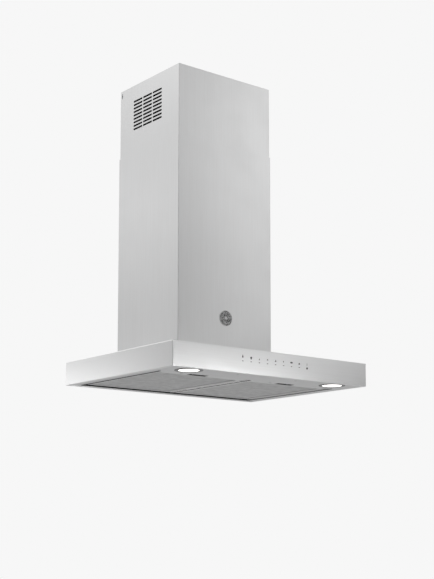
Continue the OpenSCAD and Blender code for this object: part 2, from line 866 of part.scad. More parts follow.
// flat strip against the wall with an ear at each end for the cover's screws
module upper_wall_bracket() {
  half = upper_w / 2 - cover_sheet;
  strip = half - cover_return - 1;
  jog = upper_in + cover_sheet + ear_gap; // clears the cover's rear edges
  z0 = fix_slot_z - ear_rise;
  z1 = fix_slot_z + fix_slot_h + ear_rise;
  color("lightsteelblue") difference() {
    union() {
      span([-strip, -bracket_t, z0], [strip, 0, z1]);
      for_sides() union() {
        span([strip - bracket_t, -jog - bracket_t, z0], [strip, 0, z1]);
        span([strip - bracket_t, -jog - bracket_t, z0], [half, -jog, z1]);
        span([half - bracket_t, fix_slot_y - ear_d, z0], [half, -jog, z1]);
      }
    }
    for (s = [-1, 1]) bar_y(-bracket_t - eps, eps, upper_bolt_r, s * upper_bolt_x / 2, bracket_z);
    bar_x(-cover_w, cover_w, screw_r, fix_slot_y, bracket_z);
  }
}

// the two screws that fix the upper cover to its bracket
module upper_cover_screws() {
  head = fix_slot_w / 2 - fix_head_gap;
  inside = upper_w / 2 - cover_sheet;
  color("silver") for_sides() union() {
    bar_x(inside, upper_w / 2, head, fix_slot_y, bracket_z);
    bar_x(inside - screw_l, inside, screw_r, fix_slot_y, bracket_z);
  }
}

// plastic box that turns the air out through the vents when no outside duct is fitted
module air_diverter() {
  half = upper_w / 2 - cover_sheet;
  y0 = vent_front - diverter_rim;
  y1 = vent_rear + diverter_rim;
  z0 = vent_low - diverter_rim;
  z1 = vent_top + diverter_rim;
  color("black") difference() {
    union() {
      span([-half, y0, z0], [half, y1, z1]);
      translate([0, (y0 + y1) / 2, z0 - spigot_h]) cylinder(h = spigot_h + eps, r = spigot_r, $fn = 96);
    }
    span([-half - eps, y0 + moulded, z0 + moulded], [half + eps, y1 - moulded, z1 - moulded]);
    translate([0, (y0 + y1) / 2, z0 - spigot_h - eps]) {
      cylinder(h = spigot_h + moulded + 2 * eps, r = spigot_r - moulded, $fn = 96);
    }
  }
}

// angle riveted to the canopy's top, bolted to the wall
module canopy_wall_bracket() {
  half = bracket_w / 2;
  front = top_opening_rear + 1;
  middle = canopy_h + bracket_h / 2;
  color("lightsteelblue") difference() {
    union() {
      span([-half, -bracket_t, canopy_h], [half, 0, canopy_h + bracket_h]);
      span([-half, front, canopy_h], [half, 0, canopy_h + bracket_t]);
      for_sides() span([half - bracket_t, front, canopy_h], [half, 0, canopy_h + bracket_side]);
    }
    for (s = [-1, 1]) for (t = [-1, 1]) {
      bar_y(front - eps, eps, wall_bolt_r, s * wall_bolt_x / 2, middle + t * wall_bolt_z / 2);
    }
  }
}

module panel_screws() {
  color("silver") for (p = panel_screw_places()) translate([p[0], p[1], panel_z]) {
    screw(screw_l, panel_z - side_gap);
  }
}

// screws of the blower's feet and of the collar's flange
module housing_screws() {
  color("silver") for (s = [-1, 1]) for (y = [rail_front_y, rail_rear_y]) {
    translate([s * foot_x, y, rail_top + moulded]) mirror([0, 0, 1]) screw(screw_l);
  }
  color("silver") translate([0, collar_y, box_top + collar_flange_t]) for (a = [45 : 90 : 315]) {
    rotate([0, 0, a]) translate([collar_screw_r, 0, 0]) mirror([0, 0, 1]) screw(collar_screw_l);
  }
}

// both filters are alike, and are drawn about their own middle
module in_place(s) {
  translate([s * filter_mid, 0, 0]) children();
}

// path of the latch's nose through the front of frame and pocket
module nose_cut() {
  z = filter_rise + latch_up + nose_up - nose_play;
  half = nose_w + latch_play;
  span([latch_x - half, filter_front - eps, z],
    [latch_x + half, filter_front + 2 * pocket_wall + eps, z + latch_t]);
}

module filter_frame(s) {
  top = filter_rise + filter_t;
  finger_x = latch_x - pocket_w / 2 - finger_space;
  color("silver") in_place(s) difference() {
    union() {
      span([-filter_half, filter_front, filter_rise], [filter_half, filter_rear, top]);
      // tongues that hook over the rear ledge
      for (x = [-filter_half + tongue_in, filter_half - tongue_in - tongue_w]) {
        span([x, filter_rear - tongue_lap, filter_rise],
          [x + tongue_w, lip_y + ledge_d - tongue_gap, filter_rise + tongue_t]);
      }
    }
    // opening for the mesh
    span([-filter_half + filter_rim, filter_front + front_bar, filter_rise - eps],
      [filter_half - filter_rim, filter_rear - filter_rim, top + eps]);
    // channel inside the rim
    span([-filter_half + frame_sheet, filter_front + front_bar - channel, filter_rise + frame_sheet],
      [filter_half - frame_sheet, filter_rear - frame_sheet, top - frame_sheet]);
    span([latch_x - pocket_w / 2, filter_front + pocket_wall, filter_rise - eps],
      [latch_x + pocket_w / 2, filter_front + pocket_wall + pocket_l, filter_rise + pocket_h]);
    span([finger_x - finger_w, filter_front + finger_in, filter_rise - eps],
      [finger_x, filter_front + finger_in + finger_l, filter_rise + finger_deep]);
    nose_cut();
  }
}

// sheet of expanded metal seen from below
module filter_mesh(s) {
  z = filter_rise + frame_sheet;
  color("darkgray") in_place(s) span([-filter_half + frame_sheet, filter_front + front_bar - channel, z],
    [filter_half - frame_sheet, filter_rear - frame_sheet, z + mesh_t]);
}

// corrugated pack of mesh layers behind it
module filter_core(s) {
  y0 = filter_front + front_bar - channel;
  y1 = filter_rear - frame_sheet;
  z0 = filter_rise + frame_sheet + mesh_t;
  rise = filter_t - 2 * frame_sheet - mesh_t - core_sheet;
  folds = floor((y1 - y0) / core_pitch) * 2;
  fold_l = (y1 - y0) / folds;
  line = [for (i = [0 : folds]) [y0 + i * fold_l, z0 + (i % 2) * rise]];
  back = [for (i = [folds : -1 : 0]) [line[i][0], line[i][1] + core_sheet]];
  color("gray") in_place(s) translate([-filter_half + frame_sheet, 0, 0]) rotate([90, 0, 90]) {
    linear_extrude(2 * (filter_half - frame_sheet)) polygon(concat(line, back));
  }
}

module latch_pocket(s) {
  color("black") in_place(s) difference() {
    span([latch_x - pocket_w / 2, filter_front + pocket_wall, filter_rise],
      [latch_x + pocket_w / 2, filter_front + pocket_wall + pocket_l, filter_rise + pocket_h]);
    span([latch_x - pocket_w / 2 + pocket_wall, filter_front + 2 * pocket_wall, filter_rise - eps],
      [latch_x + pocket_w / 2 - pocket_wall, filter_front + pocket_l, filter_rise + pocket_h - pocket_wall]);
    nose_cut();
  }
}

// folded wire springs that push the latch forward
module latch_spring(s) {
  y0 = filter_front + 2 * pocket_wall + latch_play + latch_l;
  y1 = filter_front + pocket_l;
  step = (y1 - y0) / spring_turns;
  line = [for (i = [0 : spring_turns]) [(i % 2) * spring_w, y0 + i * step]];
  back = [for (i = [spring_turns : -1 : 0]) [line[i][0] + spring_wire, line[i][1]]];
  color("silver") in_place(s) for (x = [-spring_at, spring_at - spring_w]) {
    translate([latch_x + x, 0, filter_rise + spring_rise]) {
      linear_extrude(spring_wire_h) polygon(concat(line, back));
    }
  }
}

module filter_latch(s) {
  y0 = filter_front + 2 * pocket_wall + latch_play;
  z0 = filter_rise + latch_up;
  half = latch_w / 2;
  color("dimgray") in_place(s) difference() {
    union() {
      span([latch_x - half, y0, z0], [latch_x + half, y0 + latch_l, z0 + latch_t]);
      span([latch_x - nose_w, filter_front - latch_nose, z0 + nose_up],
        [latch_x + nose_w, y0 + eps, z0 + latch_t]);
    }
    // grip for a fingertip
    span([latch_x - half + grip_side, y0 + grip_side, z0 - eps],
      [latch_x + half - grip_side, y0 + latch_l - grip_rear, z0 + grip_deep]);
  }
}

canopy_shell();
underside_panel();
filter_divider();
filter_rear_ledge();
touch_symbols();
indicator_windows();
control_board();
control_cover();
led_driver();
junction_box();
junction_box_lid();
terminal_block();
cable_gland();
lamp_bezel(-1);  // lamp_bezel_left
lamp_bezel(1);  // lamp_bezel_right
lamp_lens(-1);  // lamp_lens_left
lamp_lens(1);  // lamp_lens_right
lamp_boards();
lamp_housing(-1);  // lamp_housing_left
lamp_housing(1);  // lamp_housing_right
lamp_clips();
blower_rail_front();
blower_rail_rear();
blower_scroll();
blower_side(-1);  // blower_side_left
blower_side(1);  // blower_side_right
impeller_disc();
impeller_rings();
impeller_blades();
motor_shaft();
motor();
motor_bearings();
motor_bracket();
run_capacitor();
outlet_box();
outlet_collar();
damper_spindle();
damper(-1);  // damper_left
damper(1);  // damper_right
lower_cover();
round_badge();
upper_cover();
upper_wall_bracket();
upper_cover_screws();
air_diverter();
canopy_wall_bracket();
panel_screws();
housing_screws();
filter_frame(-1);  // filter_frame_left
filter_frame(1);  // filter_frame_right
filter_mesh(-1);  // filter_mesh_left
filter_mesh(1);  // filter_mesh_right
filter_core(-1);  // filter_core_left
filter_core(1);  // filter_core_right
latch_pocket(-1);  // latch_pocket_left
latch_pocket(1);  // latch_pocket_right
latch_spring(-1);  // latch_spring_left
latch_spring(1);  // latch_spring_right
filter_latch(-1);  // filter_latch_left
filter_latch(1);  // filter_latch_right
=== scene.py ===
import json
import math

import bmesh
import bpy
from mathutils import Euler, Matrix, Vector


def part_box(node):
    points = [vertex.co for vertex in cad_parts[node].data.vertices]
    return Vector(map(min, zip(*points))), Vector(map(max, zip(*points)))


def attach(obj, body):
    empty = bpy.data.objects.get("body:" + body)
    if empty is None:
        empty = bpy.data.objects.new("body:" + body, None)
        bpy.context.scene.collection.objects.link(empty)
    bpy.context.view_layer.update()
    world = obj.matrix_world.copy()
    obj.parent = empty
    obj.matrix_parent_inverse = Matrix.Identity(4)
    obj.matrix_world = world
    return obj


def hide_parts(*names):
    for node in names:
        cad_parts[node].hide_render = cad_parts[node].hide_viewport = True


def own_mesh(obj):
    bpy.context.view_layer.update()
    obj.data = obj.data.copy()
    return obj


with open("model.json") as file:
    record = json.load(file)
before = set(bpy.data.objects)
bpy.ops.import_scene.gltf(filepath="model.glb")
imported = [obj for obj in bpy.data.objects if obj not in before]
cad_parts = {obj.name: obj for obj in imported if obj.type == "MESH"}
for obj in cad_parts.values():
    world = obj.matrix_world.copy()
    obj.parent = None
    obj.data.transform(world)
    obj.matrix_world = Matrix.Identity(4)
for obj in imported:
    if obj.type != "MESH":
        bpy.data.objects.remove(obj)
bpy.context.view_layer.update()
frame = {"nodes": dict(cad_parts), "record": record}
mm = 0.001  # everything below is in metres, so 12 * mm is twelve millimetres
weld = 0.000002  # points nearer than this are one point
bodyOf = {node: body for body, nodes in frame["record"]["behaviour"]["bodies"].items() for node in nodes}
slotOf = {part["node"]: part["material_slot"] for part in frame["record"]["subparts"]}
print("frame loaded:", len(bodyOf), "nodes")


# shader helpers: a wire is a socket that can be added, multiplied and so on

class Wire:
    def __init__(self, paint, socket):
        self.paint = paint
        self.socket = socket

    def __add__(self, other):
        return self.paint.maths("ADD", self, other)

    def __radd__(self, other):
        return self.paint.maths("ADD", other, self)

    def __sub__(self, other):
        return self.paint.maths("SUBTRACT", self, other)

    def __rsub__(self, other):
        return self.paint.maths("SUBTRACT", other, self)

    def __mul__(self, other):
        return self.paint.maths("MULTIPLY", self, other)

    def __rmul__(self, other):
        return self.paint.maths("MULTIPLY", other, self)

    def __truediv__(self, other):
        return self.paint.maths("DIVIDE", self, other)


class Nodes:
    def __init__(self, tree):
        self.tree = tree

    def node(self, kind, settings=None, inputs=None, output=0):
        made = self.tree.nodes.new("ShaderNode" + kind)
        for key, value in (settings or {}).items():
            if key == "stops":
                for place, colour in value:
                    stop = made.color_ramp.elements.new(place)
                    stop.color = (*colour, 1) if len(colour) == 3 else colour
                made.color_ramp.elements.remove(made.color_ramp.elements[0])
                made.color_ramp.elements.remove(made.color_ramp.elements[-1])
            else:
                setattr(made, key, value)
        for key, value in (inputs or {}).items():
            if isinstance(value, Wire):
                self.tree.links.new(value.socket, made.inputs[key])
            else:
                made.inputs[key].default_value = value
        return Wire(self, made.outputs[output])

    def maths(self, operation, first, second=0.0):
        return self.node("Math", {"operation": operation}, {0: first, 1: second})

    def place(self, scale=(1, 1, 1), shift=(0, 0, 0), turn=(0, 0, 0)):
        spot = self.node("TexCoord", output=3)
        return self.node("Mapping", None, {0: spot, 1: shift, 2: turn, 3: scale})

    def noise(self, scale, detail=3.0, rough=0.5, stretch=(1, 1, 1), shift=(0, 0, 0)):
        return self.node("TexNoise", None, {"Vector": self.place(stretch, shift), "Scale": scale,
                                            "Detail": detail, "Roughness": rough})

    def axis(self, index):
        spot = self.node("TexCoord", output=3)
        return self.node("SeparateXYZ", None, {0: spot}, index)

    def span(self, wire, low, high, newLow=0.0, newHigh=1.0):
        return self.node("MapRange", {"clamp": True}, {0: wire, 1: low, 2: high, 3: newLow, 4: newHigh})

    def blend(self, factor, first, second):
        first = (*first, 1) if isinstance(first, tuple) else first
        second = (*second, 1) if isinstance(second, tuple) else second
        return self.node("Mix", {"data_type": "RGBA"}, {0: factor, 6: first, 7: second}, 2)


class Paint(Nodes):
    def __init__(self, name, **constants):
        self.material = bpy.data.materials.new(name)
        self.material.use_nodes = True
        super().__init__(self.material.node_tree)
        self.shader = self.tree.nodes["Principled BSDF"]
        for socketName, value in constants.items():
            self.shader.inputs[socketName.replace("_", " ")].default_value = value

    def feed(self, socketName, wire):
        self.tree.links.new(wire.socket, self.shader.inputs[socketName])

    def bump(self, height, strength=0.2, distance=0.0002):
        inputs = {"Strength": strength, "Distance": distance, "Height": height}
        self.feed("Normal", self.node("Bump", None, inputs))


def grey(value, warm=0.0):
    return (value * (1 + warm), value, value * (1 - warm))


# finishes

steel = {"pale": 0.685, "dark": 0.645, "rough": 0.31, "grain": 0.03, "grainScale": 1300, "run": 0.012}


def brushedSteel(name, alongAxis, tone=1.0, rough=None, grainBump=0.05):
    paint = Paint(name, Metallic=1.0)
    stretch = [1.0, 1.0, 1.0]
    stretch[alongAxis] = steel["run"]
    grain = paint.noise(steel["grainScale"], 4, 0.62, tuple(stretch))
    longGrain = paint.noise(steel["grainScale"] / 5, 3, 0.6, tuple(stretch), (3.1, 1.7, 0.4))
    cloud = paint.noise(4.5, 2, 0.5)
    smear = paint.noise(13, 4, 0.65, shift=(1.3, 0.2, 2.1))
    mask = paint.span(grain * 0.65 + longGrain * 0.35, 0.36, 0.64)
    tint = paint.blend(mask, grey(steel["dark"] * tone), grey(steel["pale"] * tone, -0.004))
    tint = paint.blend(paint.span(cloud, 0.35, 0.7, 0, 0.10), tint, grey(0.78 * tone))
    paint.feed("Base Color", tint)
    base = steel["rough"] if rough is None else rough
    paint.feed("Roughness", mask * steel["grain"] + base + paint.span(smear, 0.45, 0.75, 0, 0.035))
    paint.bump(grain * 0.7 + longGrain * 0.3, grainBump, 0.00012)
    return paint.material


def zincSheet(name):
    paint = Paint(name, Metallic=0.85)
    cells = paint.node("TexVoronoi", {"feature": "F1"}, {"Vector": paint.place(), "Scale": 130}, 1)
    flake = paint.node("SeparateXYZ", None, {0: cells}, 0)
    cloud = paint.noise(22, 4)
    spangle = paint.span(flake + cloud * 0.6, 0.2, 1.4)
    paint.feed("Base Color", paint.blend(spangle, (0.44, 0.46, 0.48), (0.62, 0.64, 0.66)))
    paint.feed("Roughness", paint.span(flake + cloud * 0.4, 0.1, 1.3, 0.34, 0.58))
    paint.bump(cloud + flake * 0.3, 0.12)
    return paint.material


def mouldedPlastic(name, shade, rough=0.5, grain=0.25, warm=0.0):
    paint = Paint(name)
    paint.shader.inputs["Specular IOR Level"].default_value = 0.42
    spark = paint.noise(1900, 2, 0.5)
    cloud = paint.noise(16, 3, 0.55)
    lift = paint.span(cloud, 0.3, 0.75, 0, 1)
    paint.feed("Base Color", paint.blend(lift, grey(shade * 0.86, warm), grey(shade * 1.12, warm)))
    paint.feed("Roughness", paint.span(cloud, 0.3, 0.7, rough - 0.06, rough + 0.07))
    paint.bump(spark + cloud * 0.3, grain, 0.00008)
    return paint.material


def filterRim(name):
    paint = Paint(name, Metallic=1.0)
    grain = paint.noise(700, 3, 0.6, (0.03, 1, 1))
    cloud = paint.noise(30, 4, 0.6)
    streak = paint.span(grain * 0.5 + cloud * 0.5, 0.35, 0.65)
    paint.feed("Base Color", paint.blend(streak, grey(0.56), grey(0.66)))
    paint.feed("Roughness", paint.span(cloud, 0.3, 0.7, 0.34, 0.46))
    paint.bump(grain, 0.12, 0.0001)
    return paint.material


def filterStrand(name, tone=1.0):
    paint = Paint(name, Metallic=1.0)
    cloud = paint.noise(60, 4, 0.6)
    scratch = paint.noise(1500, 2, 0.5)
    paint.feed("Base Color", paint.blend(paint.span(cloud, 0.3, 0.7), grey(0.56 * tone), grey(0.70 * tone)))
    paint.feed("Roughness", paint.span(scratch, 0.3, 0.7, 0.38, 0.52))
    paint.bump(scratch, 0.2, 0.0001)
    return paint.material


def satinMetal(name, shade, rough=0.28, swirl=0.0, centre=(0, 0, 0), warm=0.0):
    paint = Paint(name, Metallic=1.0)
    fine = paint.noise(1200, 3, 0.6)
    cloud = paint.noise(45, 3, 0.55)
    if swirl:  # turned face: rings about the centre, in the plane seen from the front
        x = paint.axis(0) - centre[0]
        z = paint.axis(2) - centre[2]
        radius = paint.maths("SQRT", x * x + z * z)
        rings = paint.maths("SINE", radius * 5200)
        fine = fine * 0.5 + rings * swirl
    tint = paint.span(cloud + fine * 0.3, 0.3, 0.9)
    paint.feed("Base Color", paint.blend(tint, grey(shade * 0.88, warm), grey(shade * 1.1, warm)))
    paint.feed("Roughness", paint.span(cloud, 0.3, 0.7, rough - 0.05, rough + 0.08))
    paint.bump(fine, 0.1, 0.00008)
    return paint.material


def badgeFinish(name, groundDepth, frontDepth):
    paint = Paint(name, Metallic=1.0)
    speck = paint.noise(420, 3, 0.6)
    cloud = paint.noise(160, 3, 0.6)
    raised = paint.span(paint.axis(1), groundDepth, frontDepth, 0, 1)
    grit = paint.span(speck * 0.7 + cloud * 0.3, 0.46, 0.54, 0, 1)
    ground = paint.blend(grit, grey(0.03), grey(0.40))
    paint.feed("Base Color", paint.blend(raised * 0.75, ground, grey(0.62)))
    paint.feed("Roughness", paint.span(speck, 0.3, 0.7, 0.28, 0.46))
    paint.bump(speck + cloud * 0.4, 0.35, 0.0001)
    return paint.material


def circuitBoard(name):
    paint = Paint(name)
    x = paint.axis(0)
    z = paint.axis(2)
    tracks = paint.maths("GREATER_THAN", paint.maths("SINE", z * 2600) + paint.noise(90, 2) * 1.2, 1.35)
    pads = paint.maths("GREATER_THAN", paint.maths("SINE", x * 900) * paint.maths("SINE", z * 900), 0.86)
    green = paint.blend(tracks * 0.45, (0.012, 0.10, 0.045), (0.05, 0.26, 0.12))
    paint.feed("Base Color", paint.blend(pads, green, (0.62, 0.55, 0.38)))
    paint.feed("Metallic", pads * 0.9)
    paint.feed("Roughness", 0.34 - pads * 0.08)
    paint.bump(tracks + pads, 0.2, 0.0001)
    return paint.material


def lampGlass(name):
    paint = Paint(name, Roughness=0.35)
    paint.shader.inputs["Emission Strength"].default_value = 2.2
    frost = paint.noise(900, 2, 0.5)
    paint.feed("Base Color", paint.blend(frost * 0.4, (0.90, 0.90, 0.88), (0.97, 0.97, 0.95)))
    paint.feed("Emission Color", paint.blend(frost * 0.25, (1.0, 0.985, 0.95), (0.96, 0.95, 0.92)))
    paint.bump(frost, 0.1, 0.0001)
    return paint.material


def inkSymbol(name):
    paint = Paint(name)
    speck = paint.noise(2500, 2, 0.5)
    paint.feed("Base Color", paint.blend(speck, grey(0.018), grey(0.032)))
    paint.feed("Roughness", paint.span(speck, 0.3, 0.7, 0.30, 0.42))
    paint.bump(speck, 0.08, 0.00005)
    return paint.material


# The canopy and the covers are one brushed steel. The canopy is made lighter and the covers darker, as
# painted light and painted shade for how each face catches the room.
coverSteelShaded = brushedSteel("cover_steel_shaded", 2, 0.95)
canopySteelLit = brushedSteel("canopy_steel_lit", 0, 1.04)
# The underside panel and the divider are the same steel as well. The panel is made darker as painted shade,
# and the divider much lighter as a painted highlight.
panelSteelShaded = brushedSteel("panel_steel_shaded", 0, 0.86, 0.33)
dividerSteelHighlit = brushedSteel("divider_steel_highlit", 1, 1.38, 0.24)
zinc = zincSheet("zinc_sheet")
rimAluminium = filterRim("rim_aluminium")
strandAluminium = filterStrand("strand_aluminium")
# The folded pack uses the strand finish darkened to 0.8, as painted shade for its place behind the mesh.
foldAluminiumShaded = filterStrand("fold_aluminium_shaded", 0.8)
# The bezel metal is made very dark, as painted shade for the shadowed inner wall of the ring round the lens.
bezelShadedMetal = satinMetal("bezel_shaded_metal", 0.17, 0.34)
glassLit = lampGlass("lamp_glass")
boardWhite = mouldedPlastic("board_white", 0.80, 0.4, 0.1)
castAluminium = satinMetal("cast_aluminium", 0.50, 0.42)
springSteel = satinMetal("spring_steel", 0.55, 0.24)
screwSteel = satinMetal("screw_steel", 0.52, 0.3)
blackenedSteel = satinMetal("blackened_steel", 0.06, 0.4)
shaftSteel = satinMetal("shaft_steel", 0.62, 0.2)
bearingSteel = satinMetal("bearing_steel", 0.66, 0.16)
symbolInk = inkSymbol("symbol_ink")
boardGreen = circuitBoard("board_green")
darkPlastic = mouldedPlastic("dark_plastic", 0.016, 0.55)
blackPlastic = mouldedPlastic("black_plastic", 0.012, 0.46)
# A black part behind the vent slots, made darker and more matt than the black plastic as painted shade for
# the dim inside of the chimney.
ventShadeBlack = mouldedPlastic("vent_shade_black", 0.003, 0.9, 0.1)
# Black seal rubber, also used as painted shadow: it darkens the rear ledge and the strips round the filter
# recess where the gaps fall in shade.
shadowRubber = mouldedPlastic("seal_rubber", 0.006, 0.8, 0.2)
palePlastic = mouldedPlastic("pale_plastic", 0.66, 0.45, 0.2, 0.02)
fanPlastic = mouldedPlastic("fan_plastic", 0.10, 0.42)
motorPaint = mouldedPlastic("motor_paint", 0.022, 0.36, 0.35)
finishOf = {
    "brushed_sheet": coverSteelShaded, "panel_sheet": panelSteelShaded, "zinc_sheet": zinc, "filter_rim": rimAluminium,
    "filter_mesh": strandAluminium, "lamp_ring": bezelShadedMetal, "lamp_lens": glassLit, "lamp_board": boardWhite,
    "heat_sink": castAluminium, "spring_steel": springSteel, "symbol_ink": symbolInk, "circuit": boardGreen,
    "housing_plastic": darkPlastic, "box_plastic": palePlastic, "black_plastic": blackPlastic,
    "fan_plastic": fanPlastic, "motor_casing": motorPaint, "bearing_steel": bearingSteel,
    "shaft_steel": shaftSteel, "screw_steel": screwSteel,
}
print("finishes made:", len(bpy.data.materials))


# modelling helpers

def clearPick():
    if bpy.context.object and bpy.context.object.mode != "OBJECT":
        bpy.ops.object.mode_set(mode="OBJECT")
    bpy.ops.object.select_all(action="DESELECT")


def hold(piece):
    clearPick()
    piece.select_set(True)
    bpy.context.view_layer.objects.active = piece
    return piece


def edit(piece, kind="FACE"):
    hold(piece)
    bpy.ops.object.mode_set(mode="EDIT")
    bpy.ops.mesh.select_mode(type=kind)
    bpy.ops.mesh.select_all(action="DESELECT")


def done():
    bpy.ops.object.mode_set(mode="OBJECT")


def pickEdges(piece, test):
    mesh = bmesh.from_edit_mesh(piece.data)
    for edge in mesh.edges:
        first, second = edge.verts[0].co, edge.verts[1].co
        edge.select_set(bool(test((first + second) / 2, (second - first).normalized(), edge)))
    bmesh.update_edit_mesh(piece.data)


def applied(piece, kind, **settings):
    hold(piece)
    modifier = piece.modifiers.new(kind.lower(), kind)
    for key, value in settings.items():
        setattr(modifier, key, value)
    bpy.ops.object.modifier_apply(modifier=modifier.name)
    return piece


def rounded(piece, width, segments=2, angle=35):
    return applied(piece, "BEVEL", width=width, segments=segments, limit_method="ANGLE",
                   angle_limit=math.radians(angle), use_clamp_overlap=True, harden_normals=False)


def smoothed(piece, angle=32):
    hold(piece)
    bpy.ops.object.shade_smooth_by_angle(angle=math.radians(angle))
    applied(piece, "WEIGHTED_NORMAL", mode="FACE_AREA", weight=50, keep_sharp=True)
    return piece


def settled(piece):
    hold(piece)
    bpy.ops.object.transform_apply(location=True, rotation=True, scale=True)
    return piece


def painted(piece, material):
    piece.data.materials.clear()
    piece.data.materials.append(material)
    return piece


def standsFor(piece, node, material=None):
    painted(piece, material or finishOf[slotOf[node]])
    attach(piece, bodyOf[node])
    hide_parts(node)
    return piece


def rides(piece, body, slotName, material=None):
    painted(piece, material or finishOf[slotName])
    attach(piece, body)
    return piece


def copyOf(node, name):
    source = frame["nodes"][node]
    piece = source.copy()
    piece.data = source.data.copy()
    piece.name = name
    for key in list(piece.keys()):
        del piece[key]
    piece.parent = None
    bpy.context.scene.collection.objects.link(piece)
    edit(piece, "VERT")
    bpy.ops.mesh.select_all(action="SELECT")
    bpy.ops.mesh.remove_doubles(threshold=weld)
    bpy.ops.mesh.dissolve_limited(angle_limit=math.radians(0.4))
    done()
    return piece


def block(name, low, high):
    clearPick()
    middle = (Vector(low) + Vector(high)) / 2
    bpy.ops.mesh.primitive_cube_add(size=1, location=middle)
    piece = bpy.context.object
    piece.name = name
    piece.scale = Vector(high) - Vector(low)
    return settled(piece)


def drum(name, radius, low, high, axis=2, sides=48):
    clearPick()
    low, high = Vector(low), Vector(high)
    turn = {0: (0, math.pi / 2, 0), 1: (math.pi / 2, 0, 0), 2: (0, 0, 0)}[axis]
    bpy.ops.mesh.primitive_cylinder_add(vertices=sides, radius=radius, depth=(high - low).length,
                                        location=(low + high) / 2, rotation=turn)
    piece = bpy.context.object
    piece.name = name
    return settled(piece)


def turned(name, profile, centre, axis=(0, 0, 1), sides=64):
    centre, axis = Vector(centre), Vector(axis)
    across = Vector((1, 0, 0)) if abs(axis.x) < 0.5 else Vector((0, 1, 0))
    points = [centre + across * r + axis * h for r, h in profile]
    clearPick()
    bpy.ops.mesh.primitive_plane_add(size=0.001, location=points[0])
    piece = bpy.context.object
    piece.name = name
    settled(piece)
    edit(piece, "VERT")
    bpy.ops.mesh.select_all(action="SELECT")
    bpy.ops.mesh.merge(type="CENTER")
    for last, point in zip(points, points[1:]):
        bpy.ops.mesh.extrude_region_move(TRANSFORM_OT_translate={"value": point - last})
    bpy.ops.mesh.select_all(action="SELECT")
    bpy.ops.mesh.spin(steps=sides, angle=math.tau, center=centre, axis=axis)
    bpy.ops.mesh.select_all(action="SELECT")
    bpy.ops.mesh.remove_doubles(threshold=0.000005)
    bpy.ops.mesh.normals_make_consistent(inside=False)
    done()
    return piece


def ringed(name, profile, centre, axis=(0, 0, 1), sides=64):
    return turned(name, profile + profile[:1], centre, axis, sides)


def arc(centreR, centreH, radius, start, end, count=6):
    steps = [math.radians(start + (end - start) * i / (count - 1)) for i in range(count)]
    return [(centreR + radius * math.cos(a), centreH + radius * math.sin(a)) for a in steps]


def joined(name, pieces):
    clearPick()
    for piece in pieces:
        piece.select_set(True)
    bpy.context.view_layer.objects.active = pieces[0]
    if len(pieces) > 1:
        bpy.ops.object.join()
    pieces[0].name = name
    pieces[0].data.name = name
    return pieces[0]


def moved(piece, shift=(0, 0, 0), turn=(0, 0, 0), name=None):
    copy = piece.copy()
    copy.data = piece.data.copy()
    copy.name = name or piece.name
    bpy.context.scene.collection.objects.link(copy)
    copy.rotation_euler = Euler(turn)
    copy.location = shift
    return settled(copy)


def discard(piece):
    bpy.data.objects.remove(piece)


def carry(node, width=0.25 * mm, segments=2, material=None):
    piece = copyOf(node, node + "_shape")
    if width:
        rounded(piece, width, segments)
    smoothed(piece)
    return standsFor(piece, node, material)


# canopy and covers: folded sheet with rolled edges

canopy = {"fold": 1.5 * mm, "segments": 4, "edge": 0.15 * mm}


def onBox(point, low, high, reach=0.00005):
    near = []
    for i in range(3):
        near.append(-1 if abs(point[i] - low[i]) < reach else 1 if abs(point[i] - high[i]) < reach else 0)
    return near


def foldedSheet(node, folds, width, segments=4, edge=0.15 * mm, material=None):
    piece = copyOf(node, node + "_shape")
    low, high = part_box(node)
    edit(piece, "EDGE")
    pickEdges(piece, lambda middle, along, e: folds(onBox(middle, low, high), along))
    bpy.ops.mesh.bevel(offset=width, segments=segments, affect="EDGES", clamp_overlap=True)
    done()
    if edge:
        rounded(piece, edge, 1, 60)
    smoothed(piece, 40)
    return standsFor(piece, node, material)


def canopyFolds(sides, along):
    upright = abs(along.z) > 0.99 and sides[0] and sides[1] == -1
    level = sides[2] and (sides[0] or sides[1] == -1) and abs(along.z) < 0.01
    return upright or level


def coverFolds(sides, along):
    return abs(along.z) > 0.99 and sides[0] and sides[1]


foldedSheet("canopy_shell", canopyFolds, canopy["fold"], canopy["segments"], canopy["edge"], canopySteelLit)
foldedSheet("lower_cover", coverFolds, canopy["fold"], canopy["segments"], canopy["edge"], coverSteelShaded)
foldedSheet("upper_cover", coverFolds, canopy["fold"], canopy["segments"], canopy["edge"], coverSteelShaded)
carry("underside_panel", 0.3 * mm)
carry("filter_divider", 0.5 * mm, material=dividerSteelHighlit)
# The rear ledge is black seal rubber, as painted shadow for the dark line behind the filters.
carry("filter_rear_ledge", 0.2 * mm, material=shadowRubber)
print("canopy and covers done")


# seal strips under the panel, beside and behind the filters, half the divider, and the right edge: black, as
# painted shadow for the dark gaps round the filter recess

shadowSeal = {"wide": 4.5 * mm, "thick": 0.7 * mm, "half": 4.6 * mm, "sill": 7 * mm}


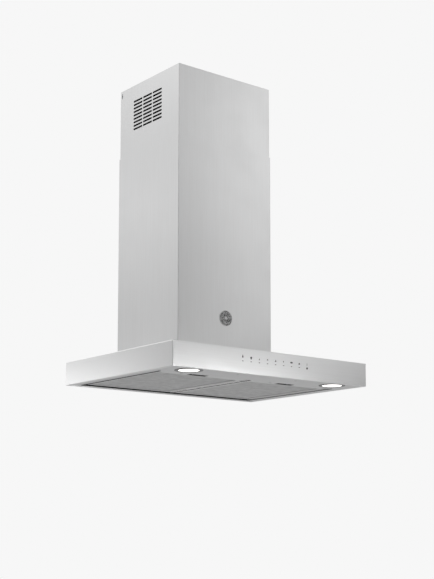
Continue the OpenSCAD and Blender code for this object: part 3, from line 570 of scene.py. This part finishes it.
def filterShadowSeals():
    ledgeLow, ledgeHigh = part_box("filter_rear_ledge")
    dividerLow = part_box("filter_divider")[0]
    panelLow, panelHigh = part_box("underside_panel")
    top = panelLow.z
    base = top - shadowSeal["thick"]
    front, rear = dividerLow.y, ledgeLow.y
    spans = [
        (ledgeHigh.x, front, ledgeHigh.x + shadowSeal["wide"], ledgeHigh.y),
        (ledgeLow.x - shadowSeal["wide"], front, ledgeLow.x, ledgeHigh.y),
        (ledgeLow.x - shadowSeal["wide"], rear, ledgeHigh.x + shadowSeal["wide"], rear + shadowSeal["sill"]),
        (dividerLow.x, front, dividerLow.x + shadowSeal["half"], rear),
        (panelHigh.x - 2 * mm, panelLow.y + 2 * mm, panelHigh.x - 0.2 * mm, panelHigh.y - 2 * mm),
    ]
    strips = [block("seal_strip", (x0, y0, base), (x1, y1, top)) for x0, y0, x1, y1 in spans]
    strip = joined("filter_seals", strips)
    rounded(strip, 0.2 * mm, 2)
    return rides(smoothed(strip), bodyOf["underside_panel"], "black_plastic", shadowRubber)


filterShadowSeals()
print("seals done")


# touch symbols and indicators, flush in the canopy's front

for node in ("touch_symbols", "indicator_windows"):
    carry(node, 0)


# badge: a plain turned disc with two rings of beads on a speckled ground

badge = {"rings": ((28, 0.80), (16, 0.50)), "beadSize": 0.95 * mm, "boss": 0.20}


def makeBadge():
    low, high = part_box("round_badge")
    centre = Vector(((low.x + high.x) / 2, high.y, (low.z + high.z) / 2))
    radius = (high.x - low.x) / 2
    height = high.y - low.y
    field = 0.45 * height
    profile = [(0, 0), (radius, 0)]
    profile += arc(radius - 0.3 * height, 0.7 * height, 0.3 * height, 0, 90, 5)
    profile += [(radius * 0.93, height), (radius * 0.915, field), (radius * 0.70, field)]
    profile += [(radius * 0.69, 0.75 * height)]
    profile += [(radius * 0.66, 0.75 * height), (radius * 0.65, field), (radius * badge["boss"], field)]
    profile += arc(radius * badge["boss"] - 0.5 * height, field, 0.5 * height, 0, 90, 5)
    profile += [(0, 0.97 * height)]
    disc = turned("badge_disc", profile, centre, (0, -1, 0), 96)
    beads = []
    for count, share in badge["rings"]:
        for i in range(count):
            a = math.tau * i / count
            spot = centre + Vector((math.cos(a), 0, math.sin(a))) * radius * share - Vector((0, field, 0))
            clearPick()
            bpy.ops.mesh.primitive_uv_sphere_add(segments=10, ring_count=6,
                                                 radius=badge["beadSize"], location=spot)
            bead = bpy.context.object
            bead.scale = (1, 0.45, 1)
            beads.append(settled(bead))
    plate = joined("badge_plate", [disc] + beads)
    smoothed(plate, 30)
    finish = badgeFinish("badge_metal", high.y - 0.6 * height, low.y + 0.15 * height)
    finishOf["badge_metal"] = finish
    return standsFor(plate, "round_badge", finish)


makeBadge()
print("badge done")


# lamps

lamp = {"lip": 0.35 * mm, "cover": 3.2 * mm, "dome": 0.25 * mm}


def makeLamp(side):
    low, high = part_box("lamp_bezel_" + side)
    lensLow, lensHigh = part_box("lamp_lens_" + side)
    centre = Vector(((low.x + high.x) / 2, (low.y + high.y) / 2, low.z))
    outer = (high.x - low.x) / 2
    lens = (lensHigh.x - lensLow.x) / 2
    tall = high.z - low.z
    seat = lensLow.z - low.z
    body = lens + 1.6 * mm
    lip = lamp["lip"]
    rim = lens - lamp["cover"]
    profile = [(rim, seat), (rim, lip)]
    profile += arc(rim + lip, lip, lip, 180, 270, 4)
    profile += arc(outer - lip, lip, lip, 270, 360, 4)
    profile += [(outer, 1 * mm), (body, 1 * mm), (body, tall)]
    profile += [(lens + 0.1 * mm, tall), (lens + 0.1 * mm, seat)]
    ring = ringed("bezel_ring_" + side, profile, centre, (0, 0, 1), 96)
    smoothed(ring, 35)
    standsFor(ring, "lamp_bezel_" + side)
    thick = lensHigh.z - lensLow.z
    dome = lamp["dome"]
    domed = [(0, 0), (lens * 0.5, dome * 0.2), (lens * 0.85, dome * 0.6), (lens - 0.2 * mm, dome),
             (lens, dome + 0.3 * mm), (lens, thick), (0, thick)]
    pane = turned("lens_pane_" + side, domed, Vector((centre.x, centre.y, lensLow.z)), (0, 0, 1), 96)
    smoothed(pane, 40)
    standsFor(pane, "lamp_lens_" + side)
    carry("lamp_housing_" + side, 0.3 * mm, 2)


for side in ("left", "right"):
    makeLamp(side)
carry("lamp_boards", 0.1 * mm, 1)
carry("lamp_clips", 0.12 * mm, 1)
print("lamps done")


# filters: rim, expanded metal, folded pack and sprung latch

filters = {"cellAcross": 10 * mm, "cellDeep": 6 * mm, "strand": 0.7 * mm, "rimBevel": 0.5 * mm,
           "rivet": 2.0 * mm, "rivetRise": 0.5 * mm, "inset": 6 * mm, "rearInset": 11 * mm,
           "sheetMargin": 1 * mm}


def expandedSheet(side):
    low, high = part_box("filter_mesh_" + side)
    middle = (low + high) / 2
    size = high - low
    across = round(size.x / filters["cellAcross"])
    deep = round(size.y / filters["cellDeep"])
    clearPick()
    bpy.ops.mesh.primitive_grid_add(x_subdivisions=across, y_subdivisions=deep, size=1, location=middle)
    sheet = bpy.context.object
    sheet.name = "mesh_sheet_" + side
    sheet.scale = (size.x - filters["sheetMargin"], size.y - filters["sheetMargin"], 1)
    settled(sheet)
    edit(sheet, "FACE")
    bpy.ops.mesh.select_all(action="SELECT")
    bpy.ops.mesh.poke()
    bpy.ops.mesh.select_mode(type="EDGE")
    bpy.ops.mesh.select_all(action="DESELECT")
    square = 0.999  # an edge this close to an axis is one of the grid's own
    pickEdges(sheet, lambda spot, along, e: max(abs(along.x), abs(along.y)) > square and not e.is_boundary)
    bpy.ops.mesh.dissolve_edges(use_verts=False)
    done()
    applied(sheet, "WIREFRAME", thickness=filters["strand"], use_boundary=True, use_replace=True,
            use_even_offset=False, offset=0.0)
    smoothed(sheet, 20)
    return standsFor(sheet, "filter_mesh_" + side, strandAluminium)


latchSpring = {"radius": 1.7 * mm, "wire": 0.28 * mm, "turns": 5, "travel": 6 * mm}


def latchSprings(side):
    low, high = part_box("latch_spring_" + side)
    length = high.y - low.y
    clearPick()
    bpy.ops.mesh.primitive_circle_add(vertices=8, radius=latchSpring["wire"], rotation=(0, 0, 0),
                                      fill_type="NGON",
                                      location=(latchSpring["radius"], latchSpring["wire"], 0))
    coil = settled(bpy.context.object)
    coil.location = (0, 0, 0)
    applied(coil, "SCREW", axis="Y", angle=math.tau * latchSpring["turns"], steps=12 * latchSpring["turns"],
            render_steps=12 * latchSpring["turns"], iterations=1,
            screw_offset=length - 2 * latchSpring["wire"])
    edit(coil, "VERT")
    bpy.ops.mesh.select_all(action="SELECT")
    bpy.ops.mesh.remove_doubles(threshold=weld)
    bpy.ops.mesh.normals_make_consistent(inside=False)
    done()
    level = (low.z + high.z) / 2
    coils = [moved(coil, (x, low.y, level)) for x in (low.x + 3 * mm, high.x - 3 * mm)]
    discard(coil)
    springs = smoothed(joined("latch_coils_" + side, coils), 60)
    standsFor(springs, "latch_spring_" + side)
    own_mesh(springs)
    return springs


def makeFilter(side):
    rim = copyOf("filter_frame_" + side, "filter_rim_" + side)
    rounded(rim, filters["rimBevel"], 2)
    smoothed(rim)
    low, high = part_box("filter_frame_" + side)
    rise, wide = filters["rivetRise"], filters["rivet"]
    dome = [(0, -rise), (wide * 0.45, -rise * 0.92), (wide * 0.8, -rise * 0.6), (wide, -rise * 0.1),
            (wide, 0.2 * mm), (0, 0.2 * mm)]
    rivets = []
    for x in (low.x + filters["inset"], high.x - filters["inset"]):
        for y in (low.y + filters["inset"], high.y - filters["rearInset"]):
            rivets.append(turned("rivet", dome, (x, y, low.z), (0, 0, 1), 20))
    rides(smoothed(joined("filter_rivets_" + side, rivets)), bodyOf["filter_frame_" + side], "filter_rim")
    standsFor(rim, "filter_frame_" + side)
    expandedSheet(side)
    # The folded pack takes the darkened strand finish, which is painted shade.
    carry("filter_core_" + side, 0, material=foldAluminiumShaded)
    carry("latch_pocket_" + side, 0.2 * mm)
    carry("filter_latch_" + side, 0.4 * mm)
    latchSprings(side)


for side in ("left", "right"):
    makeFilter(side)
print("filters done")


# screws: each set copies one pan head with a cross recess

screwShape = {"head": 3.6 * mm, "shank": 1.75 * mm, "arm": 2.1 * mm, "slot": 0.45 * mm}


def panScrew(headTall, length):
    r, shank = screwShape["head"], screwShape["shank"]
    profile = [(0, -headTall), (r * 0.55, -headTall * 0.97), (r * 0.85, -headTall * 0.8),
               (r * 0.97, -headTall * 0.45), (r, 0), (shank, 0), (shank, length - shank),
               (shank * 0.3, length), (0, length)]
    piece = turned("pan_screw", profile, (0, 0, 0), (0, 0, 1), 28)
    for arm in ((screwShape["arm"], screwShape["slot"]), (screwShape["slot"], screwShape["arm"])):
        cutter = block("cross_cut", (-arm[0], -arm[1], -headTall - 1 * mm), (arm[0], arm[1], -headTall * 0.4))
        applied(piece, "BOOLEAN", operation="DIFFERENCE", object=cutter, solver="EXACT")
        discard(cutter)
    return smoothed(piece, 30)


def screwSet(name, headTall, length, spots, turn=(0, 0, 0)):
    first = panScrew(headTall, length)
    copies = [moved(first, spot, turn) for spot in spots]
    discard(first)
    return joined(name, copies)


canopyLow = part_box("canopy_shell")[0]
collarLow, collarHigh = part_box("outlet_collar")
railLow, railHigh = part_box("blower_rail_front")
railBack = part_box("blower_rail_rear")
panelLow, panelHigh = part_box("panel_screws")
feet = {"x": 69 * mm, "flange": 2 * mm, "sheet": 2 * mm}
head = screwShape["head"]
frontScrew = (panelLow.y + head, 90 * mm)
rearScrew = (panelHigh.y - head, panelHigh.x - head)
panelTop = canopyLow.z + 1 * mm
panelSpots = [(x, rearScrew[0], panelTop) for x in (-rearScrew[1], 0, rearScrew[1])]
panelSpots += [(x, frontScrew[0], panelTop) for x in (-frontScrew[1], frontScrew[1])]
standsFor(screwSet("panel_screw_set", 0.9 * mm, 8 * mm, panelSpots), "panel_screws")
footTop = railHigh.z + feet["sheet"]
railY = [(railLow.y + railHigh.y) / 2, (railBack[0].y + railBack[1].y) / 2]
upsideDown = (math.pi, 0, 0)
footSpots = [(x, y, footTop) for x in (-feet["x"], feet["x"]) for y in railY]
footScrews = screwSet("foot_screws", 1.6 * mm, 8 * mm, footSpots, upsideDown)
collarMiddle = ((collarLow.x + collarHigh.x) / 2, (collarLow.y + collarHigh.y) / 2)
collarRing = ((collarHigh.x - collarLow.x) / 2 - 4 * mm) * math.sqrt(0.5)
flangeTop = collarLow.z + feet["flange"]
collarSpots = [(collarMiddle[0] + a * collarRing, collarMiddle[1] + b * collarRing, flangeTop)
               for a in (-1, 1) for b in (-1, 1)]
collarScrews = screwSet("flange_screws", 1.6 * mm, 7 * mm, collarSpots, upsideDown)
standsFor(joined("housing_screw_set", [footScrews, collarScrews]), "housing_screws")
carry("upper_cover_screws", 0.2 * mm, 2, blackenedSteel)
print("screws done")


# blower: housing, impeller, motor

blower = {"bead": 1.6 * mm, "rib": 1.2 * mm, "bladeWall": 0.8 * mm, "bladeCurve": 3.9 * mm, "bladeStart": 20,
          "bladeSweep": 112, "blades": 30, "rootIn": 4.1 * mm, "rootDrop": 3 * mm, "ribs": 10,
          "ribTall": 2.4 * mm, "ribFrom": 5 * mm, "ribTo": 12 * mm, "ribSines": (-0.75, 0.6),
          "eyeInset": 10 * mm, "lip": 2.2 * mm}
fanLow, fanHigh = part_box("impeller_disc")
fanAxis = Vector((0, (fanLow.y + fanHigh.y) / 2, (fanLow.z + fanHigh.z) / 2))
fanRadius = (fanHigh.y - fanLow.y) / 2


def fanBlades():
    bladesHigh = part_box("impeller_blades")[1]
    start = 1 * mm
    length = bladesHigh.x - start
    hub = fanAxis + Vector((start, fanRadius - blower["rootIn"], -blower["rootDrop"]))
    clearPick()
    bpy.ops.mesh.primitive_plane_add(size=1 * mm, location=hub)
    blade = settled(bpy.context.object)
    edit(blade, "VERT")
    bpy.ops.mesh.select_all(action="SELECT")
    bpy.ops.mesh.merge(type="CENTER")
    rise = math.radians(blower["bladeStart"])
    curve = blower["bladeCurve"]
    bpy.ops.transform.translate(value=(0, curve * math.cos(rise), curve * math.sin(rise)))
    bpy.ops.mesh.extrude_region_move(TRANSFORM_OT_translate={"value": (length, 0, 0)})
    bpy.ops.mesh.select_all(action="SELECT")
    bpy.ops.mesh.spin(steps=6, angle=math.radians(blower["bladeSweep"]), center=hub, axis=(1, 0, 0))
    done()
    applied(blade, "SOLIDIFY", thickness=blower["bladeWall"], offset=0.0)
    blades = []
    count = blower["blades"]
    for i in range(count):
        copy = moved(blade)
        edit(copy, "VERT")
        bpy.ops.mesh.select_all(action="SELECT")
        bpy.ops.transform.rotate(value=math.tau * i / count, orient_axis="X", center_override=fanAxis)
        done()
        blades.append(copy)
    discard(blade)
    right = joined("fan_blades", blades)
    left = moved(right)
    left.scale = (-1, 1, 1)
    settled(left)
    cage = joined("fan_blades", [right, left])
    edit(cage, "VERT")
    bpy.ops.mesh.select_all(action="SELECT")
    bpy.ops.mesh.remove_doubles(threshold=weld)
    bpy.ops.mesh.normals_make_consistent(inside=False)
    done()
    return standsFor(smoothed(cage, 40), "impeller_blades")


motorCase = {"bore": 10 * mm, "shaftBore": 5 * mm, "step": 2 * mm, "edge": 3 * mm, "end": 6.2 * mm, "fins": 6,
             "groove": 1.4 * mm, "bolts": 4, "bolt": 2.6 * mm, "boltInset": 6 * mm}


def motorShape():
    low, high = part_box("motor")
    length, band = high.x - low.x, (high.y - low.y) / 2
    shell = band - motorCase["step"]
    bore, edge, end = motorCase["bore"], motorCase["edge"], motorCase["end"]
    profile = [(bore, 0), (bore + 2 * mm, 0), (bore + 4 * mm, 1 * mm), (shell - 12 * mm, 1 * mm),
               (shell - 9 * mm, 0)]
    profile += [(shell - edge, 0)] + arc(shell - edge, edge, edge, -60, 0, 4)
    profile += [(shell, 6 * mm), (band, end)]
    fins = motorCase["fins"]
    pitch = (length - 2 * end) / fins
    floor = band - motorCase["groove"]
    for i in range(fins):
        base = end + i * pitch
        profile += [(band, base + pitch * 0.55), (floor, base + pitch * 0.62), (floor, base + pitch * 0.93),
                    (band, base + pitch)]
    profile += [(shell, length - 6 * mm)] + arc(shell - edge, length - edge, edge, 0, 60, 4)
    profile += [(shell - edge, length), (shell - 9 * mm, length), (shell - 12 * mm, length - 1 * mm),
                (bore + 4 * mm, length - 1 * mm), (bore + 2 * mm, length), (bore, length),
                (bore, length * 0.8), (motorCase["shaftBore"], length * 0.78),
                (motorCase["shaftBore"], length * 0.22), (bore, length * 0.2)]
    can = ringed("motor_can", profile, (low.x, fanAxis.y, fanAxis.z), (1, 0, 0), 72)
    parts = [can]
    boltRing = shell - motorCase["boltInset"]
    for i in range(motorCase["bolts"]):
        a = math.tau * (i + 0.5) / motorCase["bolts"]
        y, z = fanAxis.y + boltRing * math.cos(a), fanAxis.z + boltRing * math.sin(a)
        boltFrom, boltTo = (high.x - 0.5 * mm, y, z), (high.x + 1.2 * mm, y, z)
        bolt = drum("motor_bolt", motorCase["bolt"], boltFrom, boltTo, 0, 6)
        parts.append(rounded(bolt, 0.25 * mm, 2))
    return standsFor(smoothed(joined("motor_body", parts), 32), "motor")


def inletBell(side):
    sign = -1 if side == "left" else 1
    eye = fanRadius - blower["eyeInset"]
    lip = blower["lip"]
    mouth = (sign * scrollOut, fanAxis.y, fanAxis.z)
    profile = [(eye - 0.1 * mm, -3 * mm)] + arc(eye + lip, -lip, lip + 0.1 * mm, 180, 0, 9)
    profile += [(eye + 2 * lip, -3 * mm)]
    bell = ringed("inlet_bell_" + side, profile, mouth, (sign, 0, 0), 72)
    return rides(smoothed(bell, 40), "canopy", "housing_plastic")


def scrollRibs(side):
    sign = -1 if side == "left" else 1
    face = (scrollBox[1].x + 2 * mm) * sign
    tall = sign * blower["ribTall"]
    inner, outer = fanRadius - blower["ribFrom"], fanRadius + blower["ribTo"]
    lowSine, highSine = blower["ribSines"]
    ribs = []
    for i in range(blower["ribs"]):
        a = math.tau * (i + 0.5) / blower["ribs"]
        if not lowSine <= math.sin(a) <= highSine:
            continue
        rib = block("rib", (min(face, face + tall), inner, -blower["rib"] / 2),
                    (max(face, face + tall), outer, blower["rib"] / 2))
        edit(rib, "VERT")
        bpy.ops.mesh.select_all(action="SELECT")
        bpy.ops.transform.rotate(value=a, orient_axis="X", center_override=(0, 0, 0))
        bpy.ops.transform.translate(value=fanAxis)
        done()
        ribs.append(rounded(rib, 0.4 * mm, 2))
    return rides(smoothed(joined("side_ribs_" + side, ribs)), "canopy", "housing_plastic")


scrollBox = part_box("blower_scroll")
scrollOut = scrollBox[1].x + 6 * mm
for node in ("blower_scroll", "blower_side_left", "blower_side_right"):
    carry(node, 0.5 * mm)
for side in ("left", "right"):
    inletBell(side)
    scrollRibs(side)
carry("impeller_disc", 0.3 * mm, 2)
carry("impeller_rings", 0.4 * mm, 2)
fanBlades()
motorShape()
for node in ("motor_bearings", "motor_shaft"):
    carry(node, 0.2 * mm, 2)
print("blower done")


# outlet: box, collar, flaps, mains box, gland and capacitor

outlet = {"bead": 0.7 * mm, "beadDrop": 14 * mm, "wall": 1.6 * mm, "flange": 2 * mm, "flangeWide": 9.5 * mm}


def collarShape():
    low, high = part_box("outlet_collar")
    tall = high.z - low.z
    wide = (high.x - low.x) / 2
    tube = wide - outlet["flangeWide"]
    inner = tube - outlet["wall"]
    drop = tall - outlet["beadDrop"]
    bead = outlet["bead"]
    profile = [(inner, 0), (wide - 0.5 * mm, 0), (wide, 0.5 * mm), (wide, outlet["flange"] - 0.5 * mm),
               (wide - 0.5 * mm, outlet["flange"]), (tube + 1 * mm, outlet["flange"]),
               (tube, outlet["flange"] + 1 * mm), (tube, drop - bead)]
    profile += arc(tube, drop, bead, -80, 80, 6)
    profile += [(tube, drop + bead), (tube, tall - 2 * mm), (tube - 0.5 * mm, tall), (inner + 0.3 * mm, tall),
                (inner, tall - 0.4 * mm)]
    ring = ringed("collar_ring", profile, (collarMiddle[0], collarMiddle[1], low.z), (0, 0, 1), 96)
    return standsFor(smoothed(ring, 30), "outlet_collar")


capacitor = {"edge": 1 * mm, "grooveFoot": 7 * mm, "groove": 6.2 * mm, "grooveTop": 5.4 * mm,
             "grooveDeep": 0.8 * mm, "crimp": 3.4 * mm, "deck": 2.8 * mm, "tabShift": 4 * mm}


def capacitorShape():
    low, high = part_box("run_capacitor")
    r, tall = (high.x - low.x) / 2, high.z - low.z
    edge = capacitor["edge"]
    crimp, deck = tall - capacitor["crimp"], tall - capacitor["deck"]
    profile = [(0, 0), (r - edge, 0)] + arc(r - edge, edge, edge, -90, 0, 5)
    profile += [(r, tall - capacitor["grooveFoot"])]
    profile += [(r - capacitor["grooveDeep"], tall - capacitor["groove"])]
    profile += [(r, tall - capacitor["grooveTop"]), (r, crimp), (r - 0.4 * mm, deck), (r - 1.4 * mm, deck),
                (r - 1.6 * mm, crimp), (0, crimp)]
    middle = ((low.x + high.x) / 2, (low.y + high.y) / 2, low.z)
    can = turned("capacitor_can", profile, middle, (0, 0, 1), 48)
    parts = [can]
    for shift in (-capacitor["tabShift"], capacitor["tabShift"]):
        tab = block("tab", (middle[0] + shift - 0.4 * mm, middle[1] - 3 * mm, high.z - 4 * mm),
                    (middle[0] + shift + 0.4 * mm, middle[1] + 3 * mm, high.z - 0.1 * mm))
        parts.append(rounded(tab, 0.2 * mm, 1))
    return standsFor(smoothed(joined("capacitor_body", parts), 32), "run_capacitor")


gland = {"bore": 3.8 * mm, "thread": 6 * mm, "nutTall": 5 * mm, "dome": 3 * mm}


def glandShape():
    low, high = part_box("cable_gland")
    middle = ((low.x + high.x) / 2, (low.y + high.y) / 2)
    bore, thread, nut = gland["bore"], gland["thread"], (high.x - low.x) / 2
    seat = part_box("junction_box")[1].z
    nutTop = seat + gland["nutTall"]
    dome = gland["dome"]
    profile = [(bore, low.z), (thread, low.z), (thread, nutTop), (nut - 1 * mm, nutTop),
               (nut - 0.6 * mm, nutTop + 1 * mm), (nut - 0.8 * mm, high.z - 4 * mm)]
    profile += arc(nut - dome - 0.8 * mm, high.z - dome, dome, 10, 90, 5) + [(bore, high.z)]
    cap = ringed("gland_dome", profile, (middle[0], middle[1], 0), (0, 0, 1), 48)
    hexNut = drum("gland_hex", nut, (middle[0], middle[1], seat), (middle[0], middle[1], nutTop), 2, 6)
    rounded(hexNut, 0.5 * mm, 2)
    holeFrom = (middle[0], middle[1], seat - 1 * mm)
    holeTo = (middle[0], middle[1], nutTop + 1 * mm)
    hole = drum("gland_hole", thread - 0.2 * mm, holeFrom, holeTo)
    applied(hexNut, "BOOLEAN", operation="DIFFERENCE", object=hole, solver="EXACT")
    discard(hole)
    return standsFor(smoothed(joined("gland_body", [cap, hexNut]), 30), "cable_gland")


collarShape()
capacitorShape()
glandShape()
for node in ("outlet_box", "junction_box", "junction_box_lid"):
    carry(node, 0.6 * mm, 3)
# The air diverter seen through the vent slots takes the near-black vent finish, which is partly painted
# shade.
carry("air_diverter", 0.6 * mm, 3, ventShadeBlack)
for node in ("damper_left", "damper_right", "terminal_block", "damper_spindle"):
    carry(node, 0.2 * mm, 2)
print("outlet done")


# brackets, rails and electrics

for node in ("blower_rail_front", "blower_rail_rear", "canopy_wall_bracket", "upper_wall_bracket",
             "motor_bracket", "led_driver", "control_cover"):
    carry(node, 0.4 * mm)
carry("control_board", 0.2 * mm, 2)


def rivetRow(name, body, slotName, spots, axis, radius=2.2 * mm, rise=0.9 * mm):
    dome = [(0, rise), (radius * 0.5, rise * 0.88), (radius * 0.85, rise * 0.5), (radius, 0), (0, 0)]
    rivets = [turned("rivet", dome, spot, axis, 16) for spot in spots]
    return rides(smoothed(joined(name, rivets)), body, slotName)


wallLow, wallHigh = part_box("canopy_wall_bracket")
bracketX = [x * mm for x in (-100, -50, 0, 50, 100)]
bracketSpots = [(x, (wallLow.y + wallHigh.y) / 2, wallLow.z + 2 * mm) for x in bracketX]
rivetRow("bracket_rivets", "canopy", "zinc_sheet", bracketSpots, (0, 0, 1))
railX = (railLow.x + 5 * mm, railHigh.x - 5 * mm)
rivetRow("rail_rivets", "canopy", "zinc_sheet", [(x, y, railHigh.z) for x in railX for y in railY], (0, 0, 1))
print("brackets done")


# floor, lights and camera

studio = {"floorDrop": 3.6, "floorSize": 60.0, "paper": 0.93, "floorTone": 0.58}


def makeFloor():
    clearPick()
    bpy.ops.mesh.primitive_plane_add(size=studio["floorSize"], location=(0, 0, -studio["floorDrop"]))
    floor = bpy.context.object
    floor.name = "studio_floor"
    settled(floor)
    paint = Paint("floor_paper", Roughness=0.9)
    paint.shader.inputs["Specular IOR Level"].default_value = 0.1
    tooth = paint.noise(60, 3)
    tone, spread = studio["floorTone"], 0.01
    paint.feed("Base Color", paint.blend(tooth, grey(tone - spread), grey(tone + spread)))
    glow = paint.node("Emission", None, {0: (studio["paper"], studio["paper"], studio["paper"], 1), 1: 1.0})
    shaded = Wire(paint, paint.shader.outputs[0])
    mixed = paint.node("MixShader", None, {0: paint.node("LightPath"), 1: shaded, 2: glow})
    paint.tree.links.new(mixed.socket, paint.tree.nodes["Material Output"].inputs["Surface"])
    painted(floor, paint.material)
    return floor


def softbox(name, place, aim, width, height, power, spread):
    data = bpy.data.lights.new(name, "AREA")
    data.shape = "RECTANGLE"
    data.size = width
    data.size_y = height
    data.energy = power
    data.spread = math.radians(spread)
    lightObject = bpy.data.objects.new(name, data)
    bpy.context.scene.collection.objects.link(lightObject)
    lightObject.location = place
    lightObject.rotation_euler = (Vector(aim) - Vector(place)).to_track_quat("-Z", "Y").to_euler()
    lightObject.visible_camera = False
    return lightObject


roomLight = {"low": 0.08, "high": 1.0, "top": 0.55, "bottom": 0.04, "side": 1.15, "sideLow": 0.02,
             "ceiling": 0.15}


def makeRoomLight():
    world = bpy.data.worlds.new("studio_world")
    bpy.context.scene.world = world
    world.use_nodes = True
    room = Nodes(world.node_tree)
    way = room.node("TexCoord")
    x, y, up = (room.node("SeparateXYZ", None, {0: way}, i) for i in range(3))
    smooth = {"interpolation_type": "SMOOTHSTEP"}
    rise = room.node("MapRange", smooth, {0: up, 1: roomLight["bottom"], 2: roomLight["top"],
                                         3: roomLight["low"], 4: roomLight["high"]})
    leftRear = room.node("MapRange", smooth, {0: y * 0.78 - x * 0.62, 1: 0.3, 2: 0.95})
    ceiling = room.node("MapRange", smooth, {0: up, 1: 0.6, 2: 0.98, 4: roomLight["ceiling"]})
    height = room.maths("MAXIMUM", up, 0.0)
    seen = room.node("LightPath")
    sides = leftRear * (height * roomLight["side"] + roomLight["sideLow"])
    level = (rise + ceiling + sides) * (1 - seen) + seen * studio["paper"]
    colour = room.node("CombineColor", None, {0: level, 1: level, 2: level})
    room.tree.links.new(colour.socket, room.tree.nodes["Background"].inputs["Color"])
    return world


camera = {"place": (-1.8443, -2.5700, -0.3745), "bearing": 38.673, "pitch": 6.241, "lens": 74.86,
          "shiftX": -0.0168, "shiftY": 0.2}


def makeCamera():
    data = bpy.data.cameras.new("hood_camera")
    data.lens = camera["lens"]
    data.sensor_width = 36
    data.shift_x = camera["shiftX"]
    data.shift_y = camera["shiftY"]
    data.clip_end = 200
    cameraObject = bpy.data.objects.new("hood_camera", data)
    bpy.context.scene.collection.objects.link(cameraObject)
    cameraObject.location = camera["place"]
    cameraObject.rotation_euler = (math.radians(90 + camera["pitch"]), 0, -math.radians(camera["bearing"]))
    bpy.context.scene.camera = cameraObject
    return cameraObject


makeFloor()
makeRoomLight()
makeCamera()
# place, aim, width, height, power in watts and spread in degrees of each box
softboxes = {
    "tall_box": ((1.42, -1.75, 0.95), (0.1, -0.3, 0.5), 0.45, 1.3, 2.0, 180),  # chimney's right half
    "low_right_box": ((1.12, -1.75, -0.15), (0.15, -0.45, 0.03), 0.25, 0.6, 1.0, 180),
    "low_left_box": ((0.52, -1.48, -0.06), (-0.24, -0.45, -0.04), 0.4, 0.12, 0.065, 28),  # canopy's front
    "wall_card": ((-0.84, 0.80, -0.08), (-0.3, -0.02, 0.03), 0.5, 0.5, 1.0, 180),
    "tall_card": ((-0.95, 1.00, 0.5), (-0.15, -0.02, 0.5), 0.5, 0.9, 0.5, 180),
    "corner_strip": ((-1.75, -1.40, 0.45), (-0.15, -0.26, 0.40), 0.2, 1.5, 2.0, 180),  # edge highlights
}
for name, box in softboxes.items():
    softbox(name, *box)
bpy.context.scene.view_settings.view_transform = "Standard"
print("studio done")
